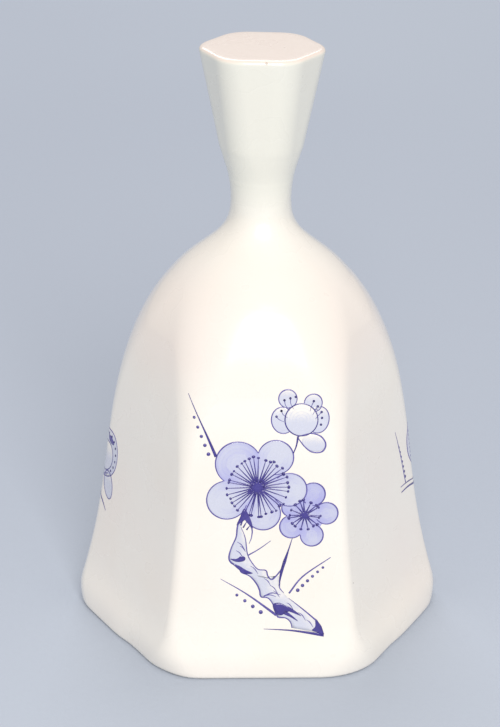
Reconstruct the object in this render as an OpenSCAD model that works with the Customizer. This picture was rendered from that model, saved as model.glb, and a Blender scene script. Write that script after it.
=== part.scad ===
// Hexagonal porcelain hand bell with a six-sided handle and a ball clapper on a short chain.
// Millimetres. +Z points up, the origin is the centre of the rim's plane.
// Two of the body's ridges lie on the X axis, so a flat facet faces -Y and another faces +Y.

/* [Bell body] */
// Height of the body, from the rim to the shoulder's end where the neck begins
body_h = 78.1; // [65:0.1:94]
// Width across the flats at the rim
rim_flats = 72; // [60:0.1:87]
// Height of the rim's flare, above which the wall rises in one long curve
flare_h = 12; // [9:0.1:15]
// Width across the flats at the flare's upper end
flare_flats = 66; // [55:0.1:80]
// Width across the flats at the shoulder's end
shoulder_flats = 37.9; // [31.5:0.1:45.5]
// Thickness of the porcelain wall
wall = 2.6; // [2:0.1:3.2]
// Rounding of the rim's two lower edges
lip_r = 0.9; // [0.6:0.05:0.95]
// Radius of the ridge between two facets, where it is sharpest
ridge_r = 3; // [2:0.1:4]
// Height from which the ridges grow softer, up to the round shoulder
ridge_soft_h = 36; // [28:0.5:44]
// Radius of the rim's six corners, seen from below
rim_corner_r = 15; // [6:0.5:18]
// Height over which the rim's round corners sharpen into ridges
rim_corner_h = 12; // [8:0.5:16]

/* [Neck and handle] */
// Diameter of the neck at its narrowest place
neck_d = 12.7; // [10.8:0.1:15.3]
// Height from the shoulder's end to the neck's narrowest place
neck_rise = 15.8; // [13.1:0.1:19]
// Height from the neck's narrowest place to the foot of the handle's corners
scoop_rise = 11.3; // [9.4:0.1:13.6]
// Height of the handle's facets above that foot
handle_h = 21.8; // [18:0.1:26.2]
// Width across the handle's flats at the foot of its corners
foot_flats = 16.6; // [13.8:0.1:20]
// Width across the handle's flats at its flat top
top_flats = 24.4; // [20.3:0.1:29.3]
// Radius of the ridge between two facets of the handle
handle_ridge_r = 6.5; // [5.4:0.1:7.8]
// Rounding of the edge round the handle's flat top
top_edge_r = 1; // [0.7:0.1:1.6]
// How far the handle's facets are turned from the body's facets, in degrees
handle_turn = -5; // [-8:0.5:8]

/* [Clapper] */
// Diameter of the ball
ball_d = 15; // [12:0.1:18]
// Height of the ball's centre above the rim while it hangs
strike_h = 17; // [14:0.1:20]
// Width of the small flats at both ends of the ball's bore
ball_flat_d = 3.4; // [3:0.1:4.2]
// Diameter of the wire in the staple, links and pin
wire_d = 1.2; // [1:0.05:1.45]
// Outside length of a link
link_l = 9; // [8:0.1:10.8]
// Outside width of a link
link_w = 5; // [4.6:0.1:6]
// Outside diameter of the pin's loop
loop_d = 5; // [4.6:0.1:6]
// Free play between two pieces of wire that hang in each other
play = 0.12; // [0.05:0.01:0.2]
// Diameter of the peened head under the ball, against the ball
head_d = 3; // [2.4:0.1:3.3]
// Diameter of the peened head's lower end
head_low_d = 2.1; // [1.6:0.1:2.3]
// Thickness of the peened head
head_t = 0.9; // [0.6:0.1:1.2]
// Diameter of the pinched shoulder over the ball
pinch_d = 2; // [1.6:0.1:2.4]
// Length of the pinched shoulder
pinch_l = 1.4; // [1:0.1:1.8]

/* [Crown fitting] */
// Width between the middles of the staple's two legs
staple_w = 4; // [3.6:0.1:4.8]
// Height from the cement's lower face down to the middle of the wire at the bottom of the loop
staple_drop = 5.4; // [5:0.1:6.4]
// Cement left over the upper ends of the staple's legs
staple_cover = 1.4; // [0.8:0.1:2]
// Height from the cement's lower face up to the neck's narrowest place
plug_below = 8.3; // [7:0.1:10]
// Height of the cement above the neck's narrowest place
plug_above = 4; // [3.4:0.1:4.8]
// How far the cement's lower face bulges down in its middle
plug_bulge = 0.9; // [0.4:0.1:1.2]
// Gap left between the dried cement and the porcelain
plug_gap = 0.03; // [0.02:0.01:0.06]

/* [Hidden] */
$fn = 64;

// Colours
porcelain = "#f4f1e8";
cement = "#d8d2c4";
brass = "#b8924a";

// How far the wall moves inwards for each millimetre of height, where two curves meet
rim_lean = 0.09;
flare_lean = 0.22;
shoulder_lean = 0.82;
neck_lean = 0;
scoop_lean = -0.42;

// How far the round scoop still reaches past the flats at the foot of the corners
scoop_over = 0.45;

// Heights above the rim
neck_z = body_h + neck_rise;
foot_z = neck_z + scoop_rise;
bell_h = foot_z + handle_h;

// The outline of the body, neck and scoops is a chain of cubic curves. A station is
// [half width, height, lean]; a curve's two handles are shares of its height.
rim_station = [rim_flats / 2, lip_r, rim_lean];
flare_station = [flare_flats / 2, flare_h, flare_lean];
shoulder_station = [shoulder_flats / 2, body_h, shoulder_lean];
neck_station = [neck_d / 2, neck_z, neck_lean];
scoop_station = [foot_flats / 2 + scoop_over, foot_z, scoop_lean];
flare_handles = [0.44, 0.53];
dome_handles = [0.43, 0.2];
fillet_handles = [0.43, 0.48];
scoop_handles = [0.42, 0.36];
flare_steps = 7;
dome_steps = 17;
fillet_steps = 8;
scoop_steps = 8;
handle_steps = 4;
edge_steps = 4;
lip_steps = 4;
cap_steps = 3;

// A ring is six equal sectors. Each has points round its corner and points along its flat.
corner_steps = 5;
flat_steps = 4;
sector_points = corner_steps + flat_steps;
ring_points = 6 * sector_points;
// Sharpness of the soft edge where the handle's flats run into the round neck
scoop_sharpness = 26;
// Slope of that round surface above the foot, and of the flats' continuation inside the scoop
cone_slope = 2;
tuck_slope = 1.2;
// Least and greatest share of a section that its corners' points are spread over
least_share = 0.08;
most_share = 0.55;
// The corners' radius as a share of the half width, where a section counts as round
round_share = 0.95;
// Power by which the ridges soften up to the shoulder
soften_power = 2.2;
no_limit = 1000;

// Cubic curve between two stations: a point and its direction
function handle_point(s, dir, len) = [s[0] - dir * s[2] * len, s[1] + dir * len];
function curve_points(a, b, h) = let (rise = b[1] - a[1])
    [[a[0], a[1]], handle_point(a, 1, h[0] * rise), handle_point(b, -1, h[1] * rise), [b[0], b[1]]];
function on_curve(q, t) = pow(1 - t, 3) * q[0] + 3 * t * pow(1 - t, 2) * q[1]
    + 3 * t * t * (1 - t) * q[2] + pow(t, 3) * q[3];
function along(q, t) = let (d = 3 * pow(1 - t, 2) * (q[1] - q[0]) + 6 * t * (1 - t) * (q[2] - q[1])
    + 3 * t * t * (q[3] - q[2])) d / norm(d);
// The same point moved into the wall by a depth, square to the outline
function inside_curve(q, t, depth) = let (d = along(q, t)) on_curve(q, t) + depth * [-d[1], d[0]];

// Radius of the corners of the body's section at a height
function body_ridge(half, z) = z < ridge_soft_h
    ? ridge_r + (rim_corner_r - ridge_r) * pow(max(0, 1 - z / rim_corner_h), 2)
    : let (u = pow(min(1, (z - ridge_soft_h) / (body_h - ridge_soft_h)), soften_power))
        ridge_r * (1 - u) + round_share * half * u;

// Half width of a rounded hexagon in a direction, measured from the middle of a facet
function hexagon_reach(half, corner, off) =
    let (c = (half - corner) / cos(30))
    tan(off) <= (half - corner) * tan(30) / half
        ? half / cos(off)
        : c * cos(30 - off) + sqrt(max(0, corner * corner - pow(c * sin(30 - off), 2)));

// Directions of a sector's points, from its corner: round the corner, then along the flat
function corner_angle(share, k) =
    let (c = (1 - share) / cos(30), a = -30 + 60 * k / corner_steps)
    atan2(share * sin(a), c + share * cos(a));
function sector_angle(share, k) = k <= corner_steps
    ? corner_angle(share, k)
    : let (a = corner_angle(share, corner_steps), f = (k - corner_steps) / flat_steps)
        30 + atan(tan(a - 30) * (1 - 2 * f));

// One ring: [half width, height, corner radius, turn, largest radius]
function ring(s) =
    let (share = min(most_share, max(least_share, s[2] / s[0])))
    [for (sector = [0:5], k = [0:sector_points - 1])
        let (a = sector_angle(share, k),
             off = abs(30 - abs(a)),
             h = hexagon_reach(s[0], s[2], off),
             r = s[4] == no_limit ? h : h * pow(1 + pow(h / s[4], scoop_sharpness), -1 / scoop_sharpness),
             dir = sector * 60 + a + s[3])
        [r * cos(dir), r * sin(dir), s[1]]];

// Sections of the handle: flat facets that widen upwards, cut by the round scoop at their foot
function handle_half(z) = foot_flats / 2 + (z - foot_z) * (top_flats - foot_flats) / 2 / handle_h;
function scoop_half(z) = let (low = foot_z - scoop_rise / 2)
    z < low ? handle_half(low) + (low - z) * tuck_slope : handle_half(z);
function handle_corner(h) = min(handle_ridge_r, round_share * h);
function handle_ring(h, z, r) = [h, z, handle_corner(h), handle_turn, r];

flare = curve_points(rim_station, flare_station, flare_handles);
dome = curve_points(flare_station, shoulder_station, dome_handles);
fillet = curve_points(shoulder_station, neck_station, fillet_handles);
scoop = curve_points(neck_station, scoop_station, scoop_handles);

function body_ring(p, depth) = let (corner = max(body_ridge(p[0] + depth, p[1]), ridge_r + depth / 2))
    [p[0], p[1], min(round_share * p[0], corner), 0, no_limit];
function round_ring(r, z) = [r, z, round_share * r, handle_turn, no_limit];

// The outside, from the rim's lower edge to the handle's top
lip_out = [for (k = [0:lip_steps - 1]) let (a = 90 * k / lip_steps)
    body_ring([rim_flats / 2 - lip_r + lip_r * sin(a), lip_r - lip_r * cos(a)], 0)];
body_out = concat(
    [for (k = [0:flare_steps - 1]) body_ring(on_curve(flare, k / flare_steps), 0)],
    [for (k = [0:dome_steps]) body_ring(on_curve(dome, k / dome_steps), 0)]);
neck_out = [for (k = [1:fillet_steps])
    let (p = on_curve(fillet, k / fillet_steps)) round_ring(p[0], p[1])];
scoop_out = [for (k = [1:scoop_steps]) let (p = on_curve(scoop, k / scoop_steps))
    handle_ring(scoop_half(p[1]), p[1], p[0])];
handle_out = [for (k = [1:handle_steps]) let (z = foot_z + k * (handle_h - top_edge_r) / handle_steps)
    handle_ring(handle_half(z), z, scoop_station[0] + cone_slope * (z - foot_z))];
edge_out = [for (k = [1:edge_steps])
    let (a = 90 * k / edge_steps, z = bell_h - top_edge_r + top_edge_r * sin(a))
    handle_ring(handle_half(z) - top_edge_r * (1 - cos(a)), z, no_limit)];

// The hollow: one wall inside the body, round in the neck, closed under the handle's top
lip_in = [for (k = [0:lip_steps - 1]) let (a = 90 * k / lip_steps, half = rim_flats / 2 - wall)
    body_ring([half + lip_r - lip_r * sin(a), lip_r - lip_r * cos(a)], wall)];
body_in = concat(
    [for (k = [0:flare_steps - 1]) body_ring(inside_curve(flare, k / flare_steps, wall), wall)],
    [for (k = [0:dome_steps]) body_ring(inside_curve(dome, k / dome_steps, wall), wall)]);
neck_in = [for (k = [1:fillet_steps])
    let (p = inside_curve(fillet, k / fillet_steps, wall)) round_ring(p[0], p[1])];
core_in = [for (k = [1:scoop_steps])
    let (p = inside_curve(scoop, k / scoop_steps, wall)) round_ring(p[0], p[1])];
core_z = core_in[scoop_steps - 1][1];
core_r = core_in[scoop_steps - 1][0];
core_top_r = top_flats / 2 - wall - top_edge_r;
core_top_z = bell_h - wall;
core_cap = [for (k = [1:cap_steps]) let (a = 90 * k / cap_steps)
    round_ring(core_r + (core_top_r - core_r) * sin(a), core_z + (core_top_z - core_z) * (1 - cos(a)))];

// A closed shell from rings: along the outside up to the top, and back down along the hollow
module shell(outside, hollow) {
    n = ring_points;
    rows = concat([for (s = outside) ring(s)], [for (k = [len(hollow) - 1:-1:0]) ring(hollow[k])]);
    count = len(rows);
    turn_row = len(outside);
    poles = [[0, 0, outside[turn_row - 1][1]], [0, 0, hollow[len(hollow) - 1][1]]];
    points = concat([for (row = rows) each row], poles);
    top = count * n;
    under = top + 1;
    sides = [for (i = [0:count - 1]) if (i != turn_row - 1)
        let (a = i * n, b = ((i + 1) % count) * n)
        for (j = [0:n - 1]) let (j2 = (j + 1) % n) each [[a + j, b + j, b + j2], [a + j, b + j2, a + j2]]];
    caps = [for (j = [0:n - 1]) let (j2 = (j + 1) % n, a = (turn_row - 1) * n, b = turn_row * n)
        each [[a + j, top, a + j2], [b + j2, under, b + j]]];
    polyhedron(points, concat(sides, caps));
}

// A closed solid from rings, with both ends closed to a point on the axis
module plug(rings, low_z, high_z) {
    n = ring_points;
    count = len(rings);
    points = concat([for (s = rings) each ring(s)], [[0, 0, low_z], [0, 0, high_z]]);
    sides = [for (i = [0:count - 2], j = [0:n - 1]) let (a = i * n, b = a + n, j2 = (j + 1) % n)
        each [[a + j, b + j, b + j2], [a + j, b + j2, a + j2]]];
    ends = [for (j = [0:n - 1]) let (j2 = (j + 1) % n, b = (count - 1) * n)
        each [[count * n, j, j2], [b + j, count * n + 1, b + j2]]];
    polyhedron(points, concat(sides, ends));
}

module bell_body() {
    color(porcelain)
        shell(concat(lip_out, body_out, neck_out, scoop_out, handle_out, edge_out),
              concat(lip_in, body_in, neck_in, core_in, core_cap));
}

// Cement: fills the neck's waist, so it is wider at both ends and can't drop out
plug_low = neck_z - plug_below;
plug_high = neck_z + plug_above;
plug_rings = [for (s = concat(neck_in, core_in)) if (s[1] > plug_low && s[1] < plug_high)
    round_ring(s[0] - plug_gap, s[1])];

module crown_cement() {
    color(cement)
        difference() {
            plug(plug_rings, plug_rings[0][1] - plug_bulge, plug_rings[len(plug_rings) - 1][1]);
            staple_legs();
        }
}

// Wire shapes
wire_r = wire_d / 2;
leg_x = staple_w / 2;
face_z = plug_rings[0][1];
leg_top_z = plug_rings[len(plug_rings) - 1][1] - staple_cover;
eye_z = face_z - staple_drop;

module half_bend(r) {
    rotate_extrude(angle = 180)
        translate([r, 0])
            circle(d = wire_d);
}

module staple_legs() {
    for (side = [-1, 1])
        translate([side * leg_x, 0, eye_z + leg_x])
            cylinder(d = wire_d, h = leg_top_z - eye_z - leg_x);
}

module crown_staple() {
    color(brass) {
        staple_legs();
        translate([0, 0, eye_z + leg_x])
            rotate([-90, 0, 0])
                half_bend(leg_x);
    }
}

// An oval link in the YZ plane. Its origin is the middle of the wire that it hangs on.
hang = wire_d + play;
link_pitch = link_l - wire_d - hang;
bend_r = (link_w - wire_d) / 2;
straight = link_l - link_w;

module link() {
    color(brass)
        translate([0, 0, hang - bend_r - straight / 2])
            rotate([90, 0, 90]) {
                for (side = [0, 180])
                    rotate([0, 0, side])
                        translate([0, straight / 2, 0])
                            half_bend(bend_r);
                for (side = [-1, 1])
                    translate([side * bend_r, straight / 2, 0])
                        rotate([90, 0, 0])
                            cylinder(d = wire_d, h = straight);
            }
}

// Heights of the wires that the links and the pin hang on
hook_z = [for (k = [0:3]) eye_z - k * link_pitch];

module chain_link_1() {
    translate([0, 0, hook_z[0]])
        link();
}

module chain_link_2() {
    translate([0, 0, hook_z[1]])
        rotate([0, 0, 90])
            link();
}

module chain_link_3() {
    translate([0, 0, hook_z[2]])
        link();
}

// Pin: closed loop in the XZ plane, straight shank through the ball, pinched above, peened below
loop_r = (loop_d - wire_d) / 2;
loop_z = hook_z[3] + hang - loop_r;
ball_r = ball_d / 2;
flat_z = sqrt(ball_r * ball_r - ball_flat_d * ball_flat_d / 4);
pin_low = strike_h - flat_z;

module clapper_pin() {
    color(brass) {
        translate([0, 0, loop_z])
            rotate([90, 0, 0])
                rotate_extrude()
                    translate([loop_r, 0])
                        circle(d = wire_d);
        translate([0, 0, pin_low - head_t / 2])
            cylinder(d = wire_d, h = loop_z - loop_r - pin_low + head_t / 2);
        translate([0, 0, pin_low - head_t])
            cylinder(d1 = head_low_d, d2 = head_d, h = head_t);
        translate([0, 0, strike_h + flat_z])
            cylinder(d = pinch_d, h = pinch_l);
    }
}

module clapper_ball() {
    color(porcelain)
        translate([0, 0, strike_h])
            difference() {
                intersection() {
                    sphere(d = ball_d);
                    cube([2 * ball_d, 2 * ball_d, 2 * flat_z], center = true);
                }
                cylinder(d = wire_d, h = 2 * ball_d, center = true);
            }
}

bell_body();
crown_cement();
crown_staple();
chain_link_1();
chain_link_2();
chain_link_3();
clapper_pin();
clapper_ball();
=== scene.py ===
# %% [markdown]
# # A porcelain hand bell with cobalt plum blossom
#
# The real bell is one thin shell of cast porcelain: a six-sided skirt, a round neck and a
# six-sided handle. Three of its six facets carry a blue painted spray.
# Inside hang a brass staple set in cement, three wire links and a glazed ball on a pin.
#
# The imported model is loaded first, because every piece here is built around it, in metres,
# in the same frame: Z up, the rim at Z = 0, a facet facing -Y.

# %% Load the frame
import math

import bmesh
import bpy
import numpy as np
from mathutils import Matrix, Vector


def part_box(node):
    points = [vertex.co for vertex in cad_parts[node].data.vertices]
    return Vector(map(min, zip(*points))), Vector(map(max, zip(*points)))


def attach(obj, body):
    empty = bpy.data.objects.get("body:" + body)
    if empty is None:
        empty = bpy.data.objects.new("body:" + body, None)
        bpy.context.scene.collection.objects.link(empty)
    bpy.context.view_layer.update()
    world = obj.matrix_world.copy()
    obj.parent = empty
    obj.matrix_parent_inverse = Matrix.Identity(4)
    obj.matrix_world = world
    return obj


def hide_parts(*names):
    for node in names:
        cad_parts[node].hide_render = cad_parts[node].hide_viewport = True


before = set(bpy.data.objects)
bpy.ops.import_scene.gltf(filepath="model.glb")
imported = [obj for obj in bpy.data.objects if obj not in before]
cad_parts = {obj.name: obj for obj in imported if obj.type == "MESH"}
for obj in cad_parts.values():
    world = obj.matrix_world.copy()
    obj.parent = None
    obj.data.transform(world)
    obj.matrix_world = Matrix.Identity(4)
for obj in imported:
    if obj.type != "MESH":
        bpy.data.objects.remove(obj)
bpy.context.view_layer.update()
MM = 0.001
TAU = 2 * math.pi
print("nodes:", sorted(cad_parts))

# %% [markdown]
# ## Nodes written as expressions
#
# Shader maths and geometry maths use the same Math nodes. Building them one by one hides the
# formula, so a small class wraps a socket: adding or multiplying two wrapped sockets adds the
# node that does it. Any other node comes from one method, `node`, which takes the node's type,
# its settings and the values or links of its sockets.


# %% A wrapped socket and a wrapped node tree
class Wire:
    """One output socket. Arithmetic on it adds Math or Vector Math nodes to its tree."""

    def __init__(self, graph, socket):
        self.graph, self.socket = graph, socket

    def math(self, operation, *others):
        vector = self.socket.type == "VECTOR"
        kind = "ShaderNodeVectorMath" if vector else "ShaderNodeMath"
        values = dict(enumerate((self,) + others))
        return self.graph.node(kind, {"operation": operation}, values)

    def flipped(self, operation, other):
        return self.graph.node("ShaderNodeMath", {"operation": operation}, {0: other, 1: self})

    def __add__(self, other):
        return self.math("ADD", other)

    def __radd__(self, other):
        return self.math("ADD", other)

    def __sub__(self, other):
        return self.math("SUBTRACT", other)

    def __rsub__(self, other):
        return self.flipped("SUBTRACT", other)

    def __mul__(self, other):
        return self.math("MULTIPLY", other)

    def __rmul__(self, other):
        return self.math("MULTIPLY", other)

    def __truediv__(self, other):
        return self.math("DIVIDE", other)

    def __rtruediv__(self, other):
        return self.flipped("DIVIDE", other)

    def __pow__(self, other):
        return self.math("POWER", other)

    def __rpow__(self, other):
        return self.flipped("POWER", other)

    def below(self, other):
        return self.math("LESS_THAN", other)

    def above(self, other):
        return self.math("GREATER_THAN", other)

    def smooth(self, low, high):
        """0 below low, 1 above high and a soft step between them."""
        return self.graph.node(
            "ShaderNodeMapRange", {"interpolation_type": "SMOOTHSTEP"},
            {"Value": self, "From Min": low, "From Max": high},
        )

    def scaled(self, factor):
        """A vector times one number."""
        return self.graph.node(
            "ShaderNodeVectorMath", {"operation": "SCALE"}, {0: self, "Scale": factor}
        )

    def axes(self):
        """The X, Y and Z of a vector."""
        first = self.graph.node("ShaderNodeSeparateXYZ", {}, {0: self})
        return [Wire(self.graph, s) for s in first.socket.node.outputs]

    def out(self, name):
        """Another output of the same node."""
        return Wire(self.graph, self.socket.node.outputs[name])


class Graph:
    """A node tree that is written as Python expressions."""

    def __init__(self, tree):
        self.tree = tree

    def node(self, kind, settings=None, values=None, output=None):
        made = self.tree.nodes.new(kind)
        for name, value in (settings or {}).items():
            setattr(made, name, value)
        for key, value in (values or {}).items():
            self.plug(self.find(made.inputs, key), value)
        if output is None:
            shown = [s for s in made.outputs if s.enabled]
            return Wire(self, shown[0]) if shown else made
        return Wire(self, made.outputs[output])

    def find(self, sockets, key):
        if isinstance(key, int):
            return sockets[key]
        same = [s for s in sockets if s.name == key and s.enabled]
        return same[0] if same else next(s for s in sockets if s.identifier == key)

    def plug(self, socket, value):
        if isinstance(value, Wire):
            self.tree.links.new(value.socket, socket)
        elif value is not None:
            socket.default_value = value

    def vector(self, x, y, z):
        return self.node("ShaderNodeCombineXYZ", {}, {0: x, 1: y, 2: z})

    def mix(self, share, a, b):
        """A colour between a and b."""
        values = {"Factor_Float": share, "A_Color": a, "B_Color": b}
        made = self.node("ShaderNodeMix", {"data_type": "RGBA"}, values)
        return made.out("Result") if made.socket.type == "RGBA" else made

    def noise(self, where, scale, detail=2.0, roughness=0.5):
        values = {"Vector": where, "Scale": scale, "Detail": detail, "Roughness": roughness}
        return self.node("ShaderNodeTexNoise", {}, values, "Fac")


# %% [markdown]
# A geometry tree needs three more things: named inputs, a material at its end, and a way to
# turn its result into a plain mesh, because the finished pieces carry no live modifier.


# %% Geometry trees with named inputs
SOCKETS = {float: "NodeSocketFloat", int: "NodeSocketInt", str: "NodeSocketObject"}


class Shape(Graph):
    """A Geometry Nodes tree whose inputs are named when it is made."""

    def __init__(self, name, inputs):
        super().__init__(bpy.data.node_groups.new(name, "GeometryNodeTree"))
        self.given = {}
        face = self.tree.interface
        face.new_socket("Geometry", in_out="INPUT", socket_type="NodeSocketGeometry")
        for key, kind in inputs.items():
            self.given[key] = face.new_socket(key, in_out="INPUT", socket_type=SOCKETS[kind])
        face.new_socket("Geometry", in_out="OUTPUT", socket_type="NodeSocketGeometry")
        self.entry = self.tree.nodes.new("NodeGroupInput")

    def __getitem__(self, name):
        return Wire(self, self.entry.outputs[name])

    def join(self, *parts):
        joined = self.node("GeometryNodeJoinGeometry")
        for part in parts:
            self.plug(joined.socket.node.inputs[0], part)
        return joined

    def end(self, geometry, material, smooth=True):
        real = self.node("GeometryNodeRealizeInstances", {}, {0: geometry})
        shaded = self.node("GeometryNodeSetShadeSmooth", {}, {0: real, "Shade Smooth": smooth})
        done = self.node("GeometryNodeSetMaterial", {}, {0: shaded, "Material": material})
        self.plug(self.tree.nodes.new("NodeGroupOutput").inputs[0], done)

    def make(self, name, source, values):
        """Runs the tree on a source object and gives back a new object with a plain mesh."""
        modifier = source.modifiers.new("shape", "NODES")
        modifier.node_group = self.tree
        for key, value in values.items():
            modifier[self.given[key].identifier] = value
        seen = source.evaluated_get(bpy.context.evaluated_depsgraph_get())
        mesh = bpy.data.meshes.new_from_object(seen)
        source.modifiers.remove(modifier)
        mesh.name = name
        made = bpy.data.objects.new(name, mesh)
        bpy.context.scene.collection.objects.link(made)
        return made


def plain_mesh(name, points, faces, numbers=None):
    """An object from points in metres and faces, with named numbers on its points."""
    mesh = bpy.data.meshes.new(name)
    mesh.from_pydata([tuple(p) for p in points], [], [tuple(f) for f in faces])
    for key, values in (numbers or {}).items():
        mesh.attributes.new(key, "FLOAT", "POINT").data.foreach_set("value", values)
    made = bpy.data.objects.new(name, mesh)
    bpy.context.scene.collection.objects.link(made)
    return made


def discard(*objects):
    """Removes helper objects that are not part of the bell."""
    for helper in objects:
        bpy.data.objects.remove(helper)


def volume(thing):
    """Volume in cubic millimetres, negative when the faces point inwards."""
    work = bmesh.new()
    work.from_mesh(thing.data)
    found = work.calc_volume(signed=True) / MM ** 3
    work.free()
    return found


# %% [markdown]
# ## Materials
#
# Glaze is a thin glass coat over a white body. Its colour is never quite even: it is creamier
# where it pooled and a little pinker where it is thin. The surface also has soft waves, called
# orange peel, and here and there a pinhole or an iron speck. Shade is painted into the colour
# as well: from the neck up it is mixed towards a darker greenish grey, the top plate towards a
# darker pink, and a band round the shoulder towards a darker pink too. All of this is worked out
# from Object coordinates, so it stays put when the bell is turned.


# %% Helpers for materials
def new_material(name):
    made = bpy.data.materials.new(name)
    made.use_nodes = True
    graph = Graph(made.node_tree)
    shader = made.node_tree.nodes["Principled BSDF"]
    where = graph.node("ShaderNodeTexCoord", {}, {}, "Object")
    return made, graph, shader, where


def set_shader(graph, shader, values):
    for key, value in values.items():
        graph.plug(shader.inputs[key], value)


def bump(graph, height, depth):
    return graph.node("ShaderNodeBump", {}, {"Height": height, "Distance": depth, "Strength": 1.0})


def specks(graph, where, spacing, size, share):
    """A mask of small round specks, one in some of the cells that are `spacing` wide."""
    cell = graph.node("ShaderNodeTexVoronoi", {}, {"Vector": where, "Scale": 1 / spacing})
    chosen = cell.out("Color").axes()[0].below(share)
    return (1 - cell.smooth(size * 0.6 / spacing, size / spacing)) * chosen


def near(graph, where, point, size):
    """A mask of one small soft spot round a point."""
    away = graph.node("ShaderNodeVectorMath", {"operation": "DISTANCE"}, {0: where, 1: point})
    return 1 - away.smooth(size * 0.4, size)


# %% White glazed porcelain
WHITE = (0.88, 0.84, 0.775, 1)
CREAM = (0.86, 0.80, 0.71, 1)
PINK = (0.87, 0.77, 0.715, 1)
BISQUE = (0.74, 0.70, 0.63, 1)
# painted shade: a darker greenish grey for the neck and the handle
PAINTED_SHADE_GREEN = (0.765, 0.78, 0.68, 1)
# painted shade: a darker pink for the top plate
TOP_PAINTED_SHADE = (0.90, 0.74, 0.655, 1)
IRON = (0.22, 0.16, 0.12, 1)
RIM_BARE = 0.35 * MM
# Spots where the glaze is worn or held a grain of iron: x, y, z and size in millimetres
MARKS = [(-7.0, -11.7, 126.6, 0.45), (-6.4, -11.8, 126.7, 0.35), (0.5, -12.0, 126.6, 0.4),
         (-5.2, -4.6, 101.4, 0.35)]


def porcelain():
    material, g, shader, where = new_material("glazed_white_porcelain")
    height = where.axes()[2]
    bare = 1 - height.smooth(RIM_BARE * 0.6, RIM_BARE)
    pooled = g.noise(where, 45).smooth(0.4, 0.75)
    thin = g.noise(where + (0.4, 0.1, 0.7), 28).smooth(0.45, 0.8)
    iron = specks(g, where, 9 * MM, 0.22 * MM, 0.16)
    for x, y, z, size in MARKS:
        iron = iron + near(g, where, (x * MM, y * MM, z * MM), size * MM)
    colour = g.mix(pooled * 0.55, WHITE, CREAM)
    colour = g.mix(thin * 0.45, colour, PINK)
    # painted shade: from 86 mm up, over the neck and the handle, the colour turns a darker greenish grey
    colour = g.mix(height.smooth(86 * MM, 100 * MM) * 0.6, colour, PAINTED_SHADE_GREEN)
    # painted shade: the top plate, from 126.2 mm up, turns a darker pink
    colour = g.mix(height.smooth(126.2 * MM, 126.9 * MM) * 0.85, colour, TOP_PAINTED_SHADE)
    # painted shade: a band round the shoulder, 56 to 88 mm up, is mixed towards a darker pink
    shoulder = height.smooth(56 * MM, 68 * MM) * (1 - height.smooth(76 * MM, 88 * MM))
    colour = g.mix(shoulder * 0.5, colour, PINK)
    colour = g.mix(iron * 0.55, colour, IRON)
    colour = g.mix(bare, colour, BISQUE)
    peel = g.noise(where, 260, 1.0) * 0.35 + g.noise(where, 900, 2.0) * 0.06
    grain = g.noise(where, 9000, 2.0) * bare
    holes = specks(g, where + (0.3, 0.2, 0.1), 13 * MM, 0.3 * MM, 0.2)
    set_shader(g, shader, {
        "Base Color": colour,
        "Roughness": bare * 0.4 + g.noise(where, 120) * 0.08 + 0.24,
        "Coat Weight": 1 - bare,
        "Coat Roughness": 0.07,
        "IOR": 1.5,
        "Normal": bump(g, peel * 0.2 + grain * 0.1 - holes * 0.25, 0.25 * MM),
    })
    return material


# %% [markdown]
# The blue is a cobalt colour. A line is never one flat blue: the pigment breaks up where it
# was put on thinly. Each painted point carries a number, `ink`, which says
# how much pigment lies there, and the colour runs from pale periwinkle to deep indigo with it.

# %% Cobalt lines and the pale wash inside the petals
INDIGO = (0.032, 0.018, 0.22, 1)
MID_BLUE = (0.15, 0.125, 0.44, 1)
PERIWINKLE = (0.39, 0.39, 0.70, 1)
PALE_BLUE = (0.60, 0.615, 0.72, 1)


def number(graph, name):
    return graph.node("ShaderNodeAttribute", {"attribute_name": name}, {}, "Fac")


def cobalt():
    material, g, shader, where = new_material("cobalt_line")
    ink = number(g, "ink")
    broken = g.noise(where, 2600, 2.0) * 0.5 + g.noise(where, 600, 1.0) * 0.5
    strength = ink * (broken * 0.9 + 0.55)
    colour = g.mix(strength.smooth(0.0, 0.75), PERIWINKLE, MID_BLUE)
    colour = g.mix(strength.smooth(0.35, 1.05), colour, INDIGO)
    set_shader(g, shader, {
        "Base Color": colour,
        "Roughness": broken * 0.1 + 0.25,
        "Coat Weight": 1.0,
        "Coat Roughness": 0.07,
        "Normal": bump(g, g.noise(where, 260, 1.0), 0.04 * MM),
    })
    return material


def wash():
    material, g, shader, where = new_material("cobalt_wash")
    ink = number(g, "ink")
    grain = g.noise(where, 1500, 3.0, 0.6)
    lobe = number(g, "lobe")
    arcs = (lobe * 34.0 + g.noise(where, 300) * 5.0).math("SINE").smooth(0.35, 1.0)
    strength = ink + (grain - 0.5) * 0.22 + arcs * 0.07
    colour = g.mix(strength.smooth(-0.05, 0.3), WHITE, PALE_BLUE)
    colour = g.mix(strength.smooth(0.42, 1.2), colour, PERIWINKLE)
    set_shader(g, shader, {
        "Base Color": colour,
        "Roughness": grain * 0.1 + 0.22,
        "Coat Weight": 1.0,
        "Coat Roughness": 0.07,
        "Normal": bump(g, g.noise(where, 260, 1.0), 0.04 * MM),
    })
    return material


# %% [markdown]
# The fittings inside are seen from below. The wire is drawn brass that has gone brown where
# nobody polishes it; the cement is a matt, sandy paste; the ball has its own thicker glaze.

# %% Brass wire, cement and the ball's glaze
BRASS = (0.60, 0.41, 0.16, 1)
BROWN_BRASS = (0.24, 0.15, 0.06, 1)
CEMENT = (0.62, 0.57, 0.47, 1)
DARK_CEMENT = (0.42, 0.37, 0.29, 1)
BALL_WHITE = (0.84, 0.81, 0.75, 1)
BALL_GREY = (0.66, 0.64, 0.60, 1)


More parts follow.
